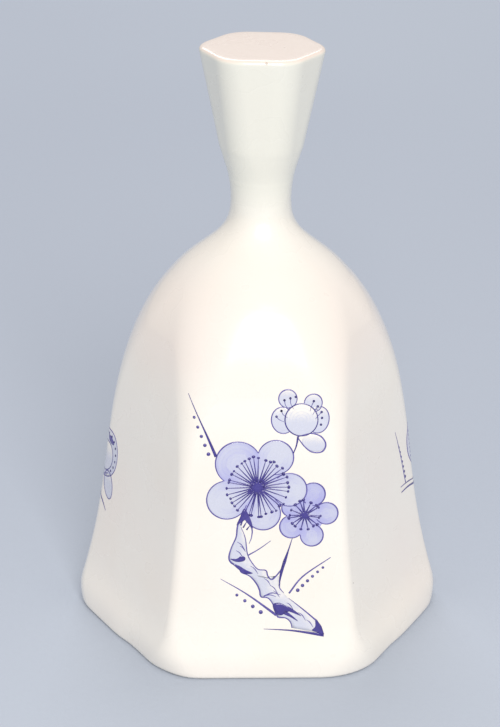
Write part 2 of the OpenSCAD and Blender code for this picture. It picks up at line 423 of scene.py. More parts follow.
def brass_wire():
    material, g, shader, where = new_material("aged_brass_wire")
    tarnish = g.noise(where, 500, 4.0, 0.65).smooth(0.42, 0.68)
    drawn = g.noise(where * (1.0, 1.0, 0.15), 6000, 1.0)
    set_shader(g, shader, {
        "Base Color": g.mix(tarnish * 0.75, BRASS, BROWN_BRASS),
        "Metallic": 1 - tarnish * 0.25,
        "Roughness": tarnish * 0.28 + drawn * 0.12 + 0.2,
        "Normal": bump(g, drawn * 0.4 + tarnish * 0.3, 0.03 * MM),
    })
    return material


def cement():
    material, g, shader, where = new_material("sandy_cement")
    lumps = g.noise(where, 700, 4.0, 0.6)
    sand = g.noise(where, 4200, 2.0, 0.7)
    set_shader(g, shader, {
        "Base Color": g.mix(lumps.smooth(0.35, 0.7), CEMENT, DARK_CEMENT),
        "Roughness": sand * 0.15 + 0.78,
        "Normal": bump(g, lumps * 0.7 + sand * 0.3, 0.35 * MM),
    })
    return material


def ball_glaze():
    material, g, shader, where = new_material("ball_glaze")
    cloudy = g.noise(where, 160, 2.0).smooth(0.4, 0.75)
    iron = specks(g, where, 3.2 * MM, 0.25 * MM, 0.3)
    worn = g.noise(where, 380, 3.0, 0.7).smooth(0.58, 0.72)
    colour = g.mix(iron * 0.6, g.mix(cloudy * 0.5, BALL_WHITE, BALL_GREY), IRON)
    set_shader(g, shader, {
        "Base Color": colour,
        "Roughness": worn * 0.3 + 0.2,
        "Coat Weight": 1 - worn * 0.7,
        "Coat Roughness": 0.09,
        "Normal": bump(g, g.noise(where, 420, 1.0) - worn * 0.3, 0.12 * MM),
    })
    return material


GLAZE = porcelain()
COBALT = cobalt()
WASH = wash()
BRASS_WIRE = brass_wire()
SANDY_CEMENT = cement()
BALL_GLAZE = ball_glaze()
print("materials:", [m.name for m in bpy.data.materials])

# %% [markdown]
# ## The porcelain shell
#
# The mould is a stack of rounded hexagons. What changes from ring to ring is a half width, a
# height, the radius of the corners, how far the ring is turned, and a round limit that cuts
# the handle's corners away near the neck. The heights and widths follow four cubic curves.
#
# A lathe could not make the facets, and a carved box would lose the long curve, so a short
# outline is worked out here, one point for each ring, and a Geometry Nodes tree wraps a grid
# round it. The same outline, moved in by the wall's thickness, makes the hollow.

# %% Sizes of the shell, in millimetres, as designed
BODY_H, RIM_FLATS, FLARE_H, FLARE_FLATS, SHOULDER_FLATS = 78.1, 72.0, 12.0, 66.0, 37.9
WALL, LIP_R = 2.6, 0.9
RIDGE_R, RIDGE_SOFT_H, RIM_CORNER_R, RIM_CORNER_H = 3.0, 36.0, 15.0, 12.0
NECK_D, NECK_RISE, SCOOP_RISE, HANDLE_H = 12.7, 15.8, 11.3, 21.8
FOOT_FLATS, TOP_FLATS, HANDLE_RIDGE_R, TOP_EDGE_R = 16.6, 24.4, 6.5, 1.0
HANDLE_TURN = math.radians(-5)
ROUND_SHARE, SOFTEN_POWER, SCOOP_SHARPNESS = 0.95, 2.2, 26.0
SCOOP_OVER, CONE_SLOPE, TUCK_SLOPE = 0.45, 2.0, 1.2
NO_LIMIT = 1000.0

NECK_Z = BODY_H + NECK_RISE
FOOT_Z = NECK_Z + SCOOP_RISE
BELL_H = FOOT_Z + HANDLE_H
# A station is half width, height and lean: how far the wall moves in for 1 mm of height
RIM = (RIM_FLATS / 2, LIP_R, 0.09)
FLARE = (FLARE_FLATS / 2, FLARE_H, 0.22)
SHOULDER = (SHOULDER_FLATS / 2, BODY_H, 0.82)
NECK = (NECK_D / 2, NECK_Z, 0.0)
SCOOP = (FOOT_FLATS / 2 + SCOOP_OVER, FOOT_Z, -0.42)


# %% Curves and corner radii
def cubic(low, high, handles, count, depth=0.0):
    """Points of the cubic curve between two stations, moved into the wall by a depth."""
    rise = high[1] - low[1]
    p0, p3 = np.array(low[:2]), np.array(high[:2])
    p1 = p0 + handles[0] * rise * np.array([-low[2], 1])
    p2 = p3 - handles[1] * rise * np.array([-high[2], 1])
    t = np.linspace(0, 1, count + 1)[:, None]
    point = (1 - t) ** 3 * p0 + 3 * t * (1 - t) ** 2 * p1 + 3 * t * t * (1 - t) * p2 + t ** 3 * p3
    way = (1 - t) ** 2 * (p1 - p0) + 2 * t * (1 - t) * (p2 - p1) + t * t * (p3 - p2)
    way /= np.linalg.norm(way, axis=1)[:, None]
    return point + depth * np.stack([-way[:, 1], way[:, 0]], axis=1)


def ridge_radius(half, z):
    """Corner radius of the body's section: round at the rim and at the shoulder."""
    if z < RIDGE_SOFT_H:
        return RIDGE_R + (RIM_CORNER_R - RIDGE_R) * max(0, 1 - z / RIM_CORNER_H) ** 2
    soft = min(1, (z - RIDGE_SOFT_H) / (BODY_H - RIDGE_SOFT_H)) ** SOFTEN_POWER
    return RIDGE_R * (1 - soft) + ROUND_SHARE * half * soft


def body_ring(half, z, depth=0.0):
    corner = max(ridge_radius(half + depth, z), RIDGE_R + depth / 2)
    return (half, z, min(ROUND_SHARE * half, corner), 0.0, NO_LIMIT)


def round_ring(half, z):
    return (half, z, ROUND_SHARE * half, HANDLE_TURN, NO_LIMIT)


def handle_half(z):
    return FOOT_FLATS / 2 + (z - FOOT_Z) * (TOP_FLATS - FOOT_FLATS) / 2 / HANDLE_H


def scoop_half(z):
    low = FOOT_Z - SCOOP_RISE / 2
    return handle_half(low) + (low - z) * TUCK_SLOPE if z < low else handle_half(z)


def handle_ring(half, z, limit):
    return (half, z, min(HANDLE_RIDGE_R, ROUND_SHARE * half), HANDLE_TURN, limit)


# %% The outline, one row for each ring: half width, height, corner, turn, round limit
CURVES = [(RIM, FLARE, (0.44, 0.53), 24), (FLARE, SHOULDER, (0.43, 0.2), 84)]
NECK_CURVES = [(SHOULDER, NECK, (0.43, 0.48), 28)]
SCOOP_CURVE = (NECK, SCOOP, (0.42, 0.36), 34)
LIP_STEPS, HANDLE_STEPS, EDGE_STEPS, CAP_STEPS = 6, 26, 8, 9


def shell_outline():
    quarter = [math.pi / 2 * k / LIP_STEPS for k in range(LIP_STEPS)]
    half = RIM_FLATS / 2
    lip = [(half - LIP_R + LIP_R * math.sin(a), LIP_R - LIP_R * math.cos(a)) for a in quarter]
    outside = [body_ring(h, z) for h, z in lip]
    for curve in CURVES:
        outside += [body_ring(h, z) for h, z in cubic(*curve)[:-1]]
    outside += [round_ring(h, z) for curve in NECK_CURVES for h, z in cubic(*curve)]
    for h, z in cubic(*SCOOP_CURVE)[1:]:
        outside.append(handle_ring(scoop_half(z), z, h))
    for k in range(1, HANDLE_STEPS + 1):
        z = FOOT_Z + k * (HANDLE_H - TOP_EDGE_R) / HANDLE_STEPS
        limit = SCOOP[0] + CONE_SLOPE * (z - FOOT_Z)
        outside.append(handle_ring(handle_half(z), z, limit))
    for k in range(1, EDGE_STEPS + 1):
        a = math.pi / 2 * k / EDGE_STEPS
        z = BELL_H - TOP_EDGE_R + TOP_EDGE_R * math.sin(a)
        half = handle_half(z) - TOP_EDGE_R * (1 - math.cos(a))
        outside.append(handle_ring(half, z, NO_LIMIT))
    top = outside[-1]
    for k in range(1, CAP_STEPS + 1):
        share = 1 - k / CAP_STEPS
        outside.append((top[0] * share, BELL_H, top[2] * share, HANDLE_TURN, NO_LIMIT))
    return outside


def hollow_outline():
    half = RIM_FLATS / 2 - WALL
    quarter = [math.pi / 2 * k / LIP_STEPS for k in range(LIP_STEPS)]
    lip = [(half + LIP_R - LIP_R * math.sin(a), LIP_R - LIP_R * math.cos(a)) for a in quarter]
    inside = [body_ring(h, z, WALL) for h, z in lip]
    for curve in CURVES:
        inside += [body_ring(h, z, WALL) for h, z in cubic(*curve, WALL)[:-1]]
    for curve in NECK_CURVES + [SCOOP_CURVE]:
        inside += [round_ring(h, z) for h, z in cubic(*curve, WALL)[:-1]]
    low_h, low_z = cubic(*SCOOP_CURVE, WALL)[-1]
    top_h, top_z = TOP_FLATS / 2 - WALL - TOP_EDGE_R, BELL_H - WALL
    for k in range(CAP_STEPS + 1):
        a = math.pi / 2 * k / CAP_STEPS
        z = low_z + (top_z - low_z) * (1 - math.cos(a))
        inside.append(round_ring(low_h + (top_h - low_h) * math.sin(a), z))
    for k in range(1, CAP_STEPS + 1):
        inside.append(round_ring(top_h * (1 - k / CAP_STEPS), top_z))
    return inside


rows = hollow_outline()[::-1] + shell_outline()
print("rings in the shell:", len(rows))

# %% [markdown]
# Each sector of the hexagon gets more points round its corner than along its flat, which is
# where the light turns quickly. The tree works out, for each point of the grid, its direction
# and how far the rounded hexagon reaches in that direction. Last, it warps the whole shell a
# little, as a casting does in the kiln: soft waves everywhere, and one rim edge that sank in.

# %% The tree that wraps a grid round the outline
CORNER_POINTS, FLAT_POINTS = 11, 11
SECTOR_POINTS = CORNER_POINTS + FLAT_POINTS
AROUND = 6 * SECTOR_POINTS
THIRTY, SIXTY = math.pi / 6, math.pi / 3
LEAST_SHARE, MOST_SHARE = 0.08, 0.55
EDGE_SPAN = math.radians(19)


def hexagon_shell():
    g = Shape("rounded_hexagon_shell", {
        "Rings": int, "Points round a ring": int, "Sharpness of the scoops": float,
        "Waves": float, "Size of the waves": float,
        "Sunk edge": float, "Direction of the sunk edge": float,
        "Bulged edge": float, "Direction of the bulged edge": float, "Height of the warp": float,
    })
    grid = g.node("GeometryNodeMeshGrid", {}, {
        "Size X": 1.0, "Size Y": 1.0,
        "Vertices X": g["Points round a ring"] + 1, "Vertices Y": g["Rings"],
    }, "Mesh")
    index = g.node("GeometryNodeInputIndex")
    rings = g["Rings"]
    across = (index / rings).math("FLOOR")
    ring = index - across * rings

    def of_ring(name):
        named = g.node("GeometryNodeInputNamedAttribute", {"data_type": "FLOAT"}, {"Name": name})
        return g.node("GeometryNodeSampleIndex", {"data_type": "FLOAT"}, {
            0: g["Geometry"], "Value": named, "Index": ring})

    half, height, corner = of_ring("half"), of_ring("height"), of_ring("corner")
    turn, limit = of_ring("turn"), of_ring("limit")
    share = (corner / half).math("MAXIMUM", LEAST_SHARE).math("MINIMUM", MOST_SHARE)
    sector = (across / SECTOR_POINTS).math("FLOOR")
    k = across - sector * SECTOR_POINTS

    def round_corner(a):
        along = share * a.math("COSINE") + (1 - share) / math.cos(THIRTY)
        return (share * a.math("SINE")).math("ARCTAN2", along)

    bend = round_corner(k * (SIXTY / CORNER_POINTS) - THIRTY)
    last = (1 - share) / math.cos(THIRTY) + share * math.cos(THIRTY)
    last = (share * math.sin(THIRTY)).math("ARCTAN2", last)
    run = (k - CORNER_POINTS) / FLAT_POINTS
    flat = ((last - THIRTY).math("TANGENT") * (1 - run * 2)).math("ARCTANGENT") + THIRTY
    on_flat = k.above(CORNER_POINTS - 0.5)
    angle = bend * (1 - on_flat) + flat * on_flat

    off = (THIRTY - angle.math("ABSOLUTE")).math("ABSOLUTE")
    centre = (half - corner) / math.cos(THIRTY)
    apart = THIRTY - off
    chord = (corner * corner - (centre * apart.math("SINE")) ** 2).math("MAXIMUM", 0.0)
    rounded = centre * apart.math("COSINE") + chord.math("SQRT")
    straight = half / off.math("COSINE")
    is_flat = off.math("TANGENT").below((half - corner) * math.tan(THIRTY) / half + 1e-6)
    reach = straight * is_flat + rounded * (1 - is_flat)
    sharp = g["Sharpness of the scoops"]
    reach = reach * ((reach / limit) ** sharp + 1) ** (-1 / sharp)

    heading = angle + sector * SIXTY + turn
    waves = g.noise(g.vector(reach * heading.math("COSINE"), reach * heading.math("SINE"), height),
                    1 / g["Size of the waves"], 1.0) - 0.5
    low = (1 - height / g["Height of the warp"]).math("MAXIMUM", 0.0) ** 2

    def edge(amount, direction):
        near = ((heading - direction).math("COSINE") - math.cos(EDGE_SPAN)).math("MAXIMUM", 0.0)
        return amount * low * (near / (1 - math.cos(EDGE_SPAN))).smooth(0.0, 1.0)

    calm = (reach / (4 * MM)).math("MINIMUM", 1.0)
    moved = waves * g["Waves"] * calm
    moved = moved + edge(g["Bulged edge"], g["Direction of the bulged edge"])
    moved = moved - edge(g["Sunk edge"], g["Direction of the sunk edge"])
    reach = reach + moved
    place = g.vector(reach * heading.math("COSINE"), reach * heading.math("SINE"), height)
    placed = g.node("GeometryNodeSetPosition", {}, {"Geometry": grid, "Position": place})
    closed = g.node("GeometryNodeMergeByDistance", {}, {0: placed, "Distance": 1e-6})
    g.end(closed, GLAZE)
    return g


# %% Cast the shell
columns = list(zip(*rows))
outline = plain_mesh("outline", [(row[0] * MM, 0, row[1] * MM) for row in rows], [], {
    "half": [max(v, 1e-6) * MM for v in columns[0]],
    "height": [v * MM for v in columns[1]],
    "corner": [v * MM for v in columns[2]],
    "turn": columns[3],
    "limit": [v * MM for v in columns[4]],
})
shell = hexagon_shell().make("porcelain_shell", outline, {
    "Rings": len(rows), "Points round a ring": AROUND, "Sharpness of the scoops": SCOOP_SHARPNESS,
    "Waves": 0.16 * MM, "Size of the waves": 22 * MM,
    "Sunk edge": 0.85 * MM, "Direction of the sunk edge": math.radians(228),
    "Bulged edge": 0.5 * MM, "Direction of the bulged edge": math.radians(338),
    "Height of the warp": 13 * MM,
})
discard(outline)
if volume(shell) < 0:
    shell.data.flip_normals()
print("shell:", len(shell.data.polygons), "faces,", round(volume(shell)), "cubic mm of porcelain")
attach(shell, "bell")
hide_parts("bell_body")

# %% [markdown]
# ## The painted sprays
#
# The decoration is a gnarled plum branch with two open blossoms and a bud. It is drawn here
# flat, on a sheet, in millimetres: x to the right and y up from the rim. Everything on the
# sheet is a thin closed shape that is laid on the glaze, so it stays sharp from close by,
# which a painted map would not.
#
# Outlines are strokes, the colour in a petal is a filled shape, and the stamens and the rows
# of dots repeat, so trees make those. At the end one tree lays the whole sheet on the glaze.


# %% A sheet to draw on
LINE_RISE, WASH_RISE, SUNK = 0.034, 0.014, -0.05


class Layer:
    """Flat closed shapes in millimetres. Each point has an amount of ink and a lobe number."""

    def __init__(self):
        self.points, self.faces, self.ink, self.lobe = [], [], [], []

    def add(self, points, faces, ink, lobe=0.0):
        start = len(self.points)
        self.points += [tuple(p) for p in points]
        self.faces += [tuple(start + i for i in face) for face in faces]
        count = len(points)
        self.ink += list(np.broadcast_to(ink, count))
        self.lobe += list(np.broadcast_to(lobe, count))

    def add_object(self, thing, ink):
        """Takes the mesh of a helper object on to the sheet and removes the helper."""
        points = [v.co / MM for v in thing.data.vertices]
        self.add(points, [tuple(p.vertices) for p in thing.data.polygons], ink)
        discard(thing)

    def slab(self, grid, ink, lobe=0.0, rise=WASH_RISE, ring=False):
        """A closed slab over a grid of (x, y): rows by columns, with ring=True round a pole."""
        rows, columns = grid.shape[:2]
        flat = grid.reshape(-1, 2)
        top = np.column_stack([flat, np.full(len(flat), rise)])
        low = np.column_stack([flat, np.full(len(flat), SUNK)])
        count = len(flat)
        faces = []
        for i in range(rows - 1):
            for j in range(columns if ring else columns - 1):
                a, b = i * columns + j, i * columns + (j + 1) % columns
                c, d = b + columns, a + columns
                faces += [(a, b, c, d), (d + count, c + count, b + count, a + count)]
        for a, b in border(rows, columns, ring):
            faces.append((b, a, a + count, b + count))

        def both(value):
            return np.tile(np.broadcast_to(value, (rows, columns)).ravel(), 2)

        self.add(np.vstack([top, low]), faces, both(ink), both(lobe))


class Sheet:
    """One drawing: the pale wash lies under the dark lines."""

    def __init__(self):
        self.wash, self.line = Layer(), Layer()


def border(rows, columns, ring):
    """Pairs of neighbouring points along the grid's edge, in the direction of its faces."""
    last = (rows - 1) * columns
    if ring:
        return [(last + (j + 1) % columns, last + j) for j in range(columns)] + [
            (j, (j + 1) % columns) for j in range(columns)]
    pairs = [(j, j + 1) for j in range(columns - 1)]
    pairs += [(last + j + 1, last + j) for j in range(columns - 1)]
    pairs += [((i + 1) * columns, i * columns) for i in range(rows - 1)]
    pairs += [(i * columns + columns - 1, (i + 1) * columns + columns - 1) for i in range(rows - 1)]
    return pairs


# %% [markdown]
# A stroke is a smooth curve through a few points whose width swells and thins like a brush
# line. A tree sweeps a flat, closed profile along all strokes of one colour at once, and the
# curve's own radius carries the width.

# %% Strokes
STEP = 0.35
WEIGHT = 1.3


def smooth_line(points, closed=False):
    """Points of a Catmull-Rom curve through the given ones, about one STEP apart."""
    p = np.array(points, float)
    if len(p) == 2 and not closed:
        count = max(2, int(np.linalg.norm(p[1] - p[0]) / STEP) + 1)
        return np.linspace(p[0], p[1], count)
    ends = [p[-1], p[0], p[1]] if closed else [2 * p[0] - p[1], 2 * p[-1] - p[-2]]
    p = np.vstack([ends[0], p, ends[1:]])
    out = []
    for a, b, c, d in zip(p, p[1:], p[2:], p[3:]):
        count = max(2, int(np.linalg.norm(c - b) / STEP) + 1)
        t = np.linspace(0, 1, count, endpoint=False)[:, None]
        out.append(0.5 * (2 * b + (c - a) * t + (2 * a - 5 * b + 4 * c - d) * t ** 2
                          + (3 * b - a - 3 * c + d) * t ** 3))
    return np.vstack(out + [p[-2:-1]])


def stroke_tree():
    g = Shape("flat_strokes", {"Rise": float, "Sunk": float})
    profile = g.node("GeometryNodeCurvePrimitiveCircle", {}, {"Resolution": 6, "Radius": 0.5}, "Curve")
    width = g.node("GeometryNodeInputRadius")
    swept = g.node("GeometryNodeCurveToMesh", {}, {
        "Curve": g["Geometry"], "Profile Curve": profile, "Scale": width, "Fill Caps": True})
    x, y, z = g.node("GeometryNodeInputPosition").axes()
    up = z.above(0.0)
    flat = g.vector(x, y, up * g["Rise"] + (1 - up) * g["Sunk"])
    pressed = g.node("GeometryNodeSetPosition", {}, {"Geometry": swept, "Position": flat})
    g.end(pressed, COBALT)
    return g


class Strokes:
    """Collects brush lines of one strength and sweeps them together."""

    tree = stroke_tree()

    def __init__(self, ink):
        self.ink, self.lines = ink, []

    def draw(self, points, widths=(0.12, 0.26, 0.12), closed=False):
        path = smooth_line(points, closed)
        away = np.concatenate([[0], np.cumsum(np.linalg.norm(np.diff(path, axis=0), axis=1))])
        share = away / away[-1]
        along = np.linspace(0, 1, len(widths))
        self.lines.append((path, WEIGHT * np.interp(share, along, widths)))

    def sweep(self, sheet):
        curve = bpy.data.curves.new("strokes", "CURVE")
        curve.dimensions = "3D"
        curve.twist_mode = "Z_UP"
        for path, widths in self.lines:
            line = curve.splines.new("POLY")
            line.points.add(len(path) - 1)
            for point, (x, y), width in zip(line.points, path, widths):
                point.co = (x * MM, y * MM, 0, 1)
                point.radius = width * MM
        source = bpy.data.objects.new("strokes", curve)
        bpy.context.scene.collection.objects.link(source)
        made = self.tree.make("strokes", source, {"Rise": LINE_RISE * MM, "Sunk": SUNK * MM})
        discard(source)
        if volume(made) < 0:
            made.data.flip_normals()
        sheet.line.add_object(made, self.ink)


# %% [markdown]
# Stamens stand round a blossom's centre like spokes, each a thin thread with a round anther at
# its end, and no two are quite the same length. The rows of dots beside the twigs grow from
# one end to the other. Both are trees with the count and the sizes as inputs, and the stamens'
# tree also takes a fixed seed.


# %% Trees for stamens and for rows of dots
def dot(g, radius, rise, sides=9):
    """A flat closed disc with its foot sunk into the glaze."""
    disc = g.node("GeometryNodeMeshCylinder", {}, {
        "Vertices": sides, "Radius": radius, "Depth": (LINE_RISE - SUNK) * MM}, "Mesh")
    return g.node("GeometryNodeTransform", {}, {
        "Geometry": disc, "Translation": g.vector(0.0, 0.0, rise)})


def random(g, low, high, seed):
    return g.node("FunctionNodeRandomValue", {"data_type": "FLOAT"}, {
        "Min_001": low, "Max_001": high, "Seed": seed}, 1)


def stamen_tree():
    g = Shape("stamen_ring", {
        "Count": int, "Start": float, "Inner radius": float, "Reach": float, "Unevenness": float,
        "Thread": float, "Anther": float, "Seed": int, "Centre X": float, "Centre Y": float,
    })
    middle = (LINE_RISE + SUNK) / 2 * MM
    points = g.node("GeometryNodePoints", {}, {"Count": g["Count"]})
    index = g.node("GeometryNodeInputIndex")
    jitter = random(g, -0.35, 0.35, g["Seed"])
    angle = (index + jitter) / g["Count"] * TAU + g["Start"]
    stretch = random(g, 1 - g["Unevenness"], 1 + g["Unevenness"], g["Seed"] + 1)
    length = g["Reach"] * stretch
    cosine, sine = angle.math("COSINE"), angle.math("SINE")
    turn = g.vector(0.0, 0.0, angle)

    thread = g.node("GeometryNodeMeshCube", {}, {
        "Size": g.vector(1.0, 1.0, (LINE_RISE - SUNK) * MM),
        "Vertices X": 8, "Vertices Y": 2, "Vertices Z": 2}, "Mesh")
    x, y, z = g.node("GeometryNodeInputPosition").axes()
    taper = (0.5 - x) * 1.0 + 0.5
    thread = g.node("GeometryNodeSetPosition", {}, {
        "Geometry": thread, "Position": g.vector(x, y * taper * g["Thread"], z)})
    run = length - g["Inner radius"]
    half_way = (length + g["Inner radius"]) / 2
    placed = g.node("GeometryNodeSetPosition", {}, {"Geometry": points, "Position": g.vector(
        cosine * half_way + g["Centre X"], sine * half_way + g["Centre Y"], middle)})
    threads = g.node("GeometryNodeInstanceOnPoints", {}, {
        "Points": placed, "Instance": thread, "Rotation": turn,
        "Scale": g.vector(run, 1.0, 1.0)})
    ends = g.node("GeometryNodeSetPosition", {}, {"Geometry": points, "Position": g.vector(
        cosine * length + g["Centre X"], sine * length + g["Centre Y"], 0.0)})
    size = random(g, 0.7, 1.15, g["Seed"] + 2)
    anthers = g.node("GeometryNodeInstanceOnPoints", {}, {
        "Points": ends, "Instance": dot(g, g["Anther"], middle), "Rotation": turn,
        "Scale": g.vector(size, size * 1.3, 1.0)})
    g.end(g.join(threads, anthers), COBALT)
    return g


def dot_row_tree():
    g = Shape("row_of_dots", {
        "Count": int, "First radius": float, "Last radius": float, "Start X": float,
        "Start Y": float, "End X": float, "End Y": float, "Bow": float,
    })
    share = g.node("GeometryNodeInputIndex") / (g["Count"] - 1)
    points = g.node("GeometryNodePoints", {}, {"Count": g["Count"]})
    run_x, run_y = g["End X"] - g["Start X"], g["End Y"] - g["Start Y"]
    bow = share * (1 - share) * 4 * g["Bow"]
    length = (run_x * run_x + run_y * run_y).math("SQRT")
    place = g.vector(g["Start X"] + run_x * share - bow * run_y / length,
                     g["Start Y"] + run_y * share + bow * run_x / length, 0.0)
    placed = g.node("GeometryNodeSetPosition", {}, {"Geometry": points, "Position": place})
    size = g["First radius"] + (g["Last radius"] - g["First radius"]) * share
    dots = g.node("GeometryNodeInstanceOnPoints", {}, {
        "Points": placed, "Instance": dot(g, 1.0, (LINE_RISE + SUNK) / 2 * MM, 12),
        "Scale": g.vector(size, size, 1.0)})
    g.end(dots, COBALT)
    return g


STAMENS, DOT_ROW = stamen_tree(), dot_row_tree()
EMPTY = plain_mesh("empty_source", [(0, 0, 0)], [])


def add_stamens(sheet, centre, count, inner, reach, thread, anther, seed, ink=0.95):
    made = STAMENS.make("stamens", EMPTY, {
        "Count": count, "Start": 0.1 * seed, "Inner radius": inner * MM, "Reach": reach * MM,
        "Unevenness": 0.06, "Thread": thread * MM, "Anther": anther * MM, "Seed": seed,
        "Centre X": centre[0] * MM, "Centre Y": centre[1] * MM})
    sheet.line.add_object(made, ink)


def add_dots(sheet, start, end, count, radii, bow=0.0, ink=0.75):
    made = DOT_ROW.make("dots", EMPTY, {
        "Count": count, "First radius": radii[0] * MM, "Last radius": radii[1] * MM,
        "Start X": start[0] * MM, "Start Y": start[1] * MM, "End X": end[0] * MM,
        "End Y": end[1] * MM, "Bow": bow * MM})
    sheet.line.add_object(made, ink)


# %% [markdown]
# A blossom is a handful of overlapping round petals. Only the parts of each circle that lie
# outside its neighbours are outlined. The wash is one star-shaped slab: from the blossom's
# centre, each ray runs out to the furthest petal. Every point remembers how far out it lies,
# so the pigment can gather between the petals and thin out at their tips.

# %% Petals, blossoms and discs
CIRCLE = np.linspace(0, TAU, 145)[:-1]


def round_points(x, y, r, squash=1.0, turn=0.0):
    """Points of a circle, or of an oval squashed across its own direction."""
    a, b = r * np.cos(CIRCLE), r * squash * np.sin(CIRCLE)
    c, s = math.cos(turn), math.sin(turn)
    return np.column_stack([x + a * c - b * s, y + a * s + b * c])


def outline_outside(strokes, circle, covers, widths):
    """Strokes along the stretches of a circle that no cover hides."""
    points = round_points(*circle)
    free = np.ones(len(points), bool)
    for cx, cy, r in covers:
        free &= np.hypot(points[:, 0] - cx, points[:, 1] - cy) > r
    if free.all():
        strokes.draw(points[::4], widths, closed=True)
        return
    first = next(i for i in range(len(free)) if free[i] and not free[i - 1])
    run = []
    for i in list(range(first, len(free))) + list(range(first)) + [None]:
        if i is not None and free[i]:
            run.append(points[i])
        elif len(run) > 4:
            strokes.draw(run[::3] + [run[-1]], widths)
            run = []
        else:
            run = []


def star_wash(sheet, centre, petals, rise=WASH_RISE, deeper=0.0):
    """The wash of a blossom: deep near the centre and between petals, pale at the tips."""
    cx, cy = centre
    reach = np.zeros(len(CIRCLE))
    best = np.zeros((len(CIRCLE), 3))
    for x, y, r in petals:
        away, heading = math.hypot(x - cx, y - cy), math.atan2(y - cy, x - cx)
        off = CIRCLE - heading
        inside = r * r - (away * np.sin(off)) ** 2
        far = away * np.cos(off) + np.sqrt(np.maximum(inside, 0))
        far[(inside < 0) | (np.cos(off) < 0)] = 0
        won = far > reach
        reach[won], best[won] = far[won], (x, y, r)
    bare = reach == 0
    reach[bare] = 0.55 * reach.max()
    best[bare] = petals[0]
    shares = np.array([0.002, 0.02, 0.12, 0.2, 0.3, 0.4, 0.5, 0.6, 0.7, 0.8, 0.9, 0.97, 1.0])[:, None]
    grid = np.stack([cx + shares * reach * np.cos(CIRCLE), cy + shares * reach * np.sin(CIRCLE)], -1)
    lobe = np.hypot(grid[..., 0] - best[:, 0], grid[..., 1] - best[:, 1]) / best[:, 2]
    between = 1 - reach / reach.max()
    first_petal = 0.25 * (best[:, 0] == petals[0][0])
    ink = (0.2 + deeper + 1.5 * (1 - shares) * shares + 1.1 * between * shares + first_petal * shares
           - 0.14 * (lobe < 0.5) + 0.15 * (shares > 0.9))
    sheet.wash.slab(grid[::-1], ink[::-1], lobe[::-1], rise, ring=True)


def disc_wash(sheet, circle, ink, rise=WASH_RISE, shade=(0.0, -1.0)):
    """The wash of one petal, darker on the side that `shade` points to."""
    x, y, r = circle[:3]
    edge = round_points(*circle) - (x, y)
    shares = np.array([1.0, 0.92, 0.8, 0.65, 0.5, 0.35, 0.2, 0.02, 0.003])[:, None, None]
    grid = edge[None] * shares + (x, y)
    side = (edge[None] * shares / r) @ np.array(shade)
    lobe = np.broadcast_to(shares[..., 0], grid.shape[:2])
    sheet.wash.slab(grid, ink + 0.3 * side, lobe, rise, ring=True)


def strip_wash(sheet, left, right, ink, columns=7, rise=WASH_RISE):
    """The wash between two outlines that run the same way."""
    count = 46
    sides = []
    for line in (left, right):
        path = smooth_line(line)
        away = np.concatenate([[0], np.cumsum(np.linalg.norm(np.diff(path, axis=0), axis=1))])
        at = np.linspace(0, away[-1], count)
        sides.append(np.column_stack([np.interp(at, away, path[:, 0]), np.interp(at, away, path[:, 1])]))
    share = np.linspace(0, 1, columns)[None, :, None]
    grid = sides[0][:, None] * (1 - share) + sides[1][:, None] * share
    dark_side = 0.35 * (1 - share[..., 0]) ** 2
    sheet.wash.slab(grid, ink + dark_side, rise=rise)


def blot(sheet, points, ink=1.0):
    """A filled dark patch with pointed ends, from its middle to a smooth outline."""
    edge = smooth_line(points, closed=True)[:-1]
    middle = edge.mean(axis=0)
    shares = np.array([0.003, 0.02, 0.35, 0.7, 1.0])[:, None, None]
    grid = middle + (edge[None] - middle) * shares
    area = 0.5 * np.sum(edge[:, 0] * np.roll(edge[:, 1], -1) - edge[:, 1] * np.roll(edge[:, 0], -1))
    sheet.line.slab(grid[::-1] if area > 0 else grid, ink, rise=LINE_RISE + 0.004, ring=True)


# %% [markdown]
# ### The large spray
#
# Two open blossoms, a bud, the gnarled branch that carries them, four straight twigs with
# their rows of dots, and a dark line of ground. Blossoms are a centre and a few petals, each
# an x, a y and a radius; the branch is two outlines that run down side by side.

# %% The large spray
BIG = (-1.0, 41.6)
BIG_PETALS = [(-5.0, 46.7, 4.7), (2.7, 48.0, 3.7), (5.6, 41.0, 3.6), (0.2, 35.8, 3.6), (-7.3, 38.8, 4.2)]
SMALL = (8.8, 35.4)
SMALL_PETALS = [(10.5, 40.0, 2.5), (13.3, 35.8, 2.4), (10.3, 31.0, 2.4), (6.1, 32.9, 2.5), (5.9, 37.0, 1.9)]
BUD = (7.9, 56.0, 3.4)
BUD_PETALS = [(5.1, 60.4, 1.9), (10.3, 59.5, 1.85), (4.1, 55.9, 2.8, 0.84, 1.75),
              (11.3, 56.0, 2.8, 0.82, 1.4)]

BRANCH_LEFT = [
    (-3.9, 36.6), (-5.1, 33.1), (-5.4, 30.7), (-6.4, 28.3), (-6.9, 26.2), (-6.4, 25.0), (-4.8, 24.0),
    (-4.3, 22.9), (-2.6, 22.1), (-1.2, 20.5), (-0.5, 19.0), (-0.2, 17.6), (1.3, 17.3), (2.3, 16.0),
    (3.0, 14.2), (3.4, 13.2), (5.0, 13.0), (6.0, 12.1), (6.3, 10.9)]
BRANCH_RIGHT = [
    (-3.6, 36.4), (-4.3, 32.3), (-3.5, 30.4), (-3.1, 27.2), (-2.4, 25.5), (-0.9, 23.6), (0.8, 23.2),
    (1.2, 22.1), (2.2, 21.3), (3.4, 22.4), (3.7, 20.8), (3.7, 19.5), (4.6, 18.4), (5.6, 17.2),
    (7.8, 15.5), (9.7, 13.9), (11.3, 12.5), (12.0, 11.0), (12.4, 9.8)]


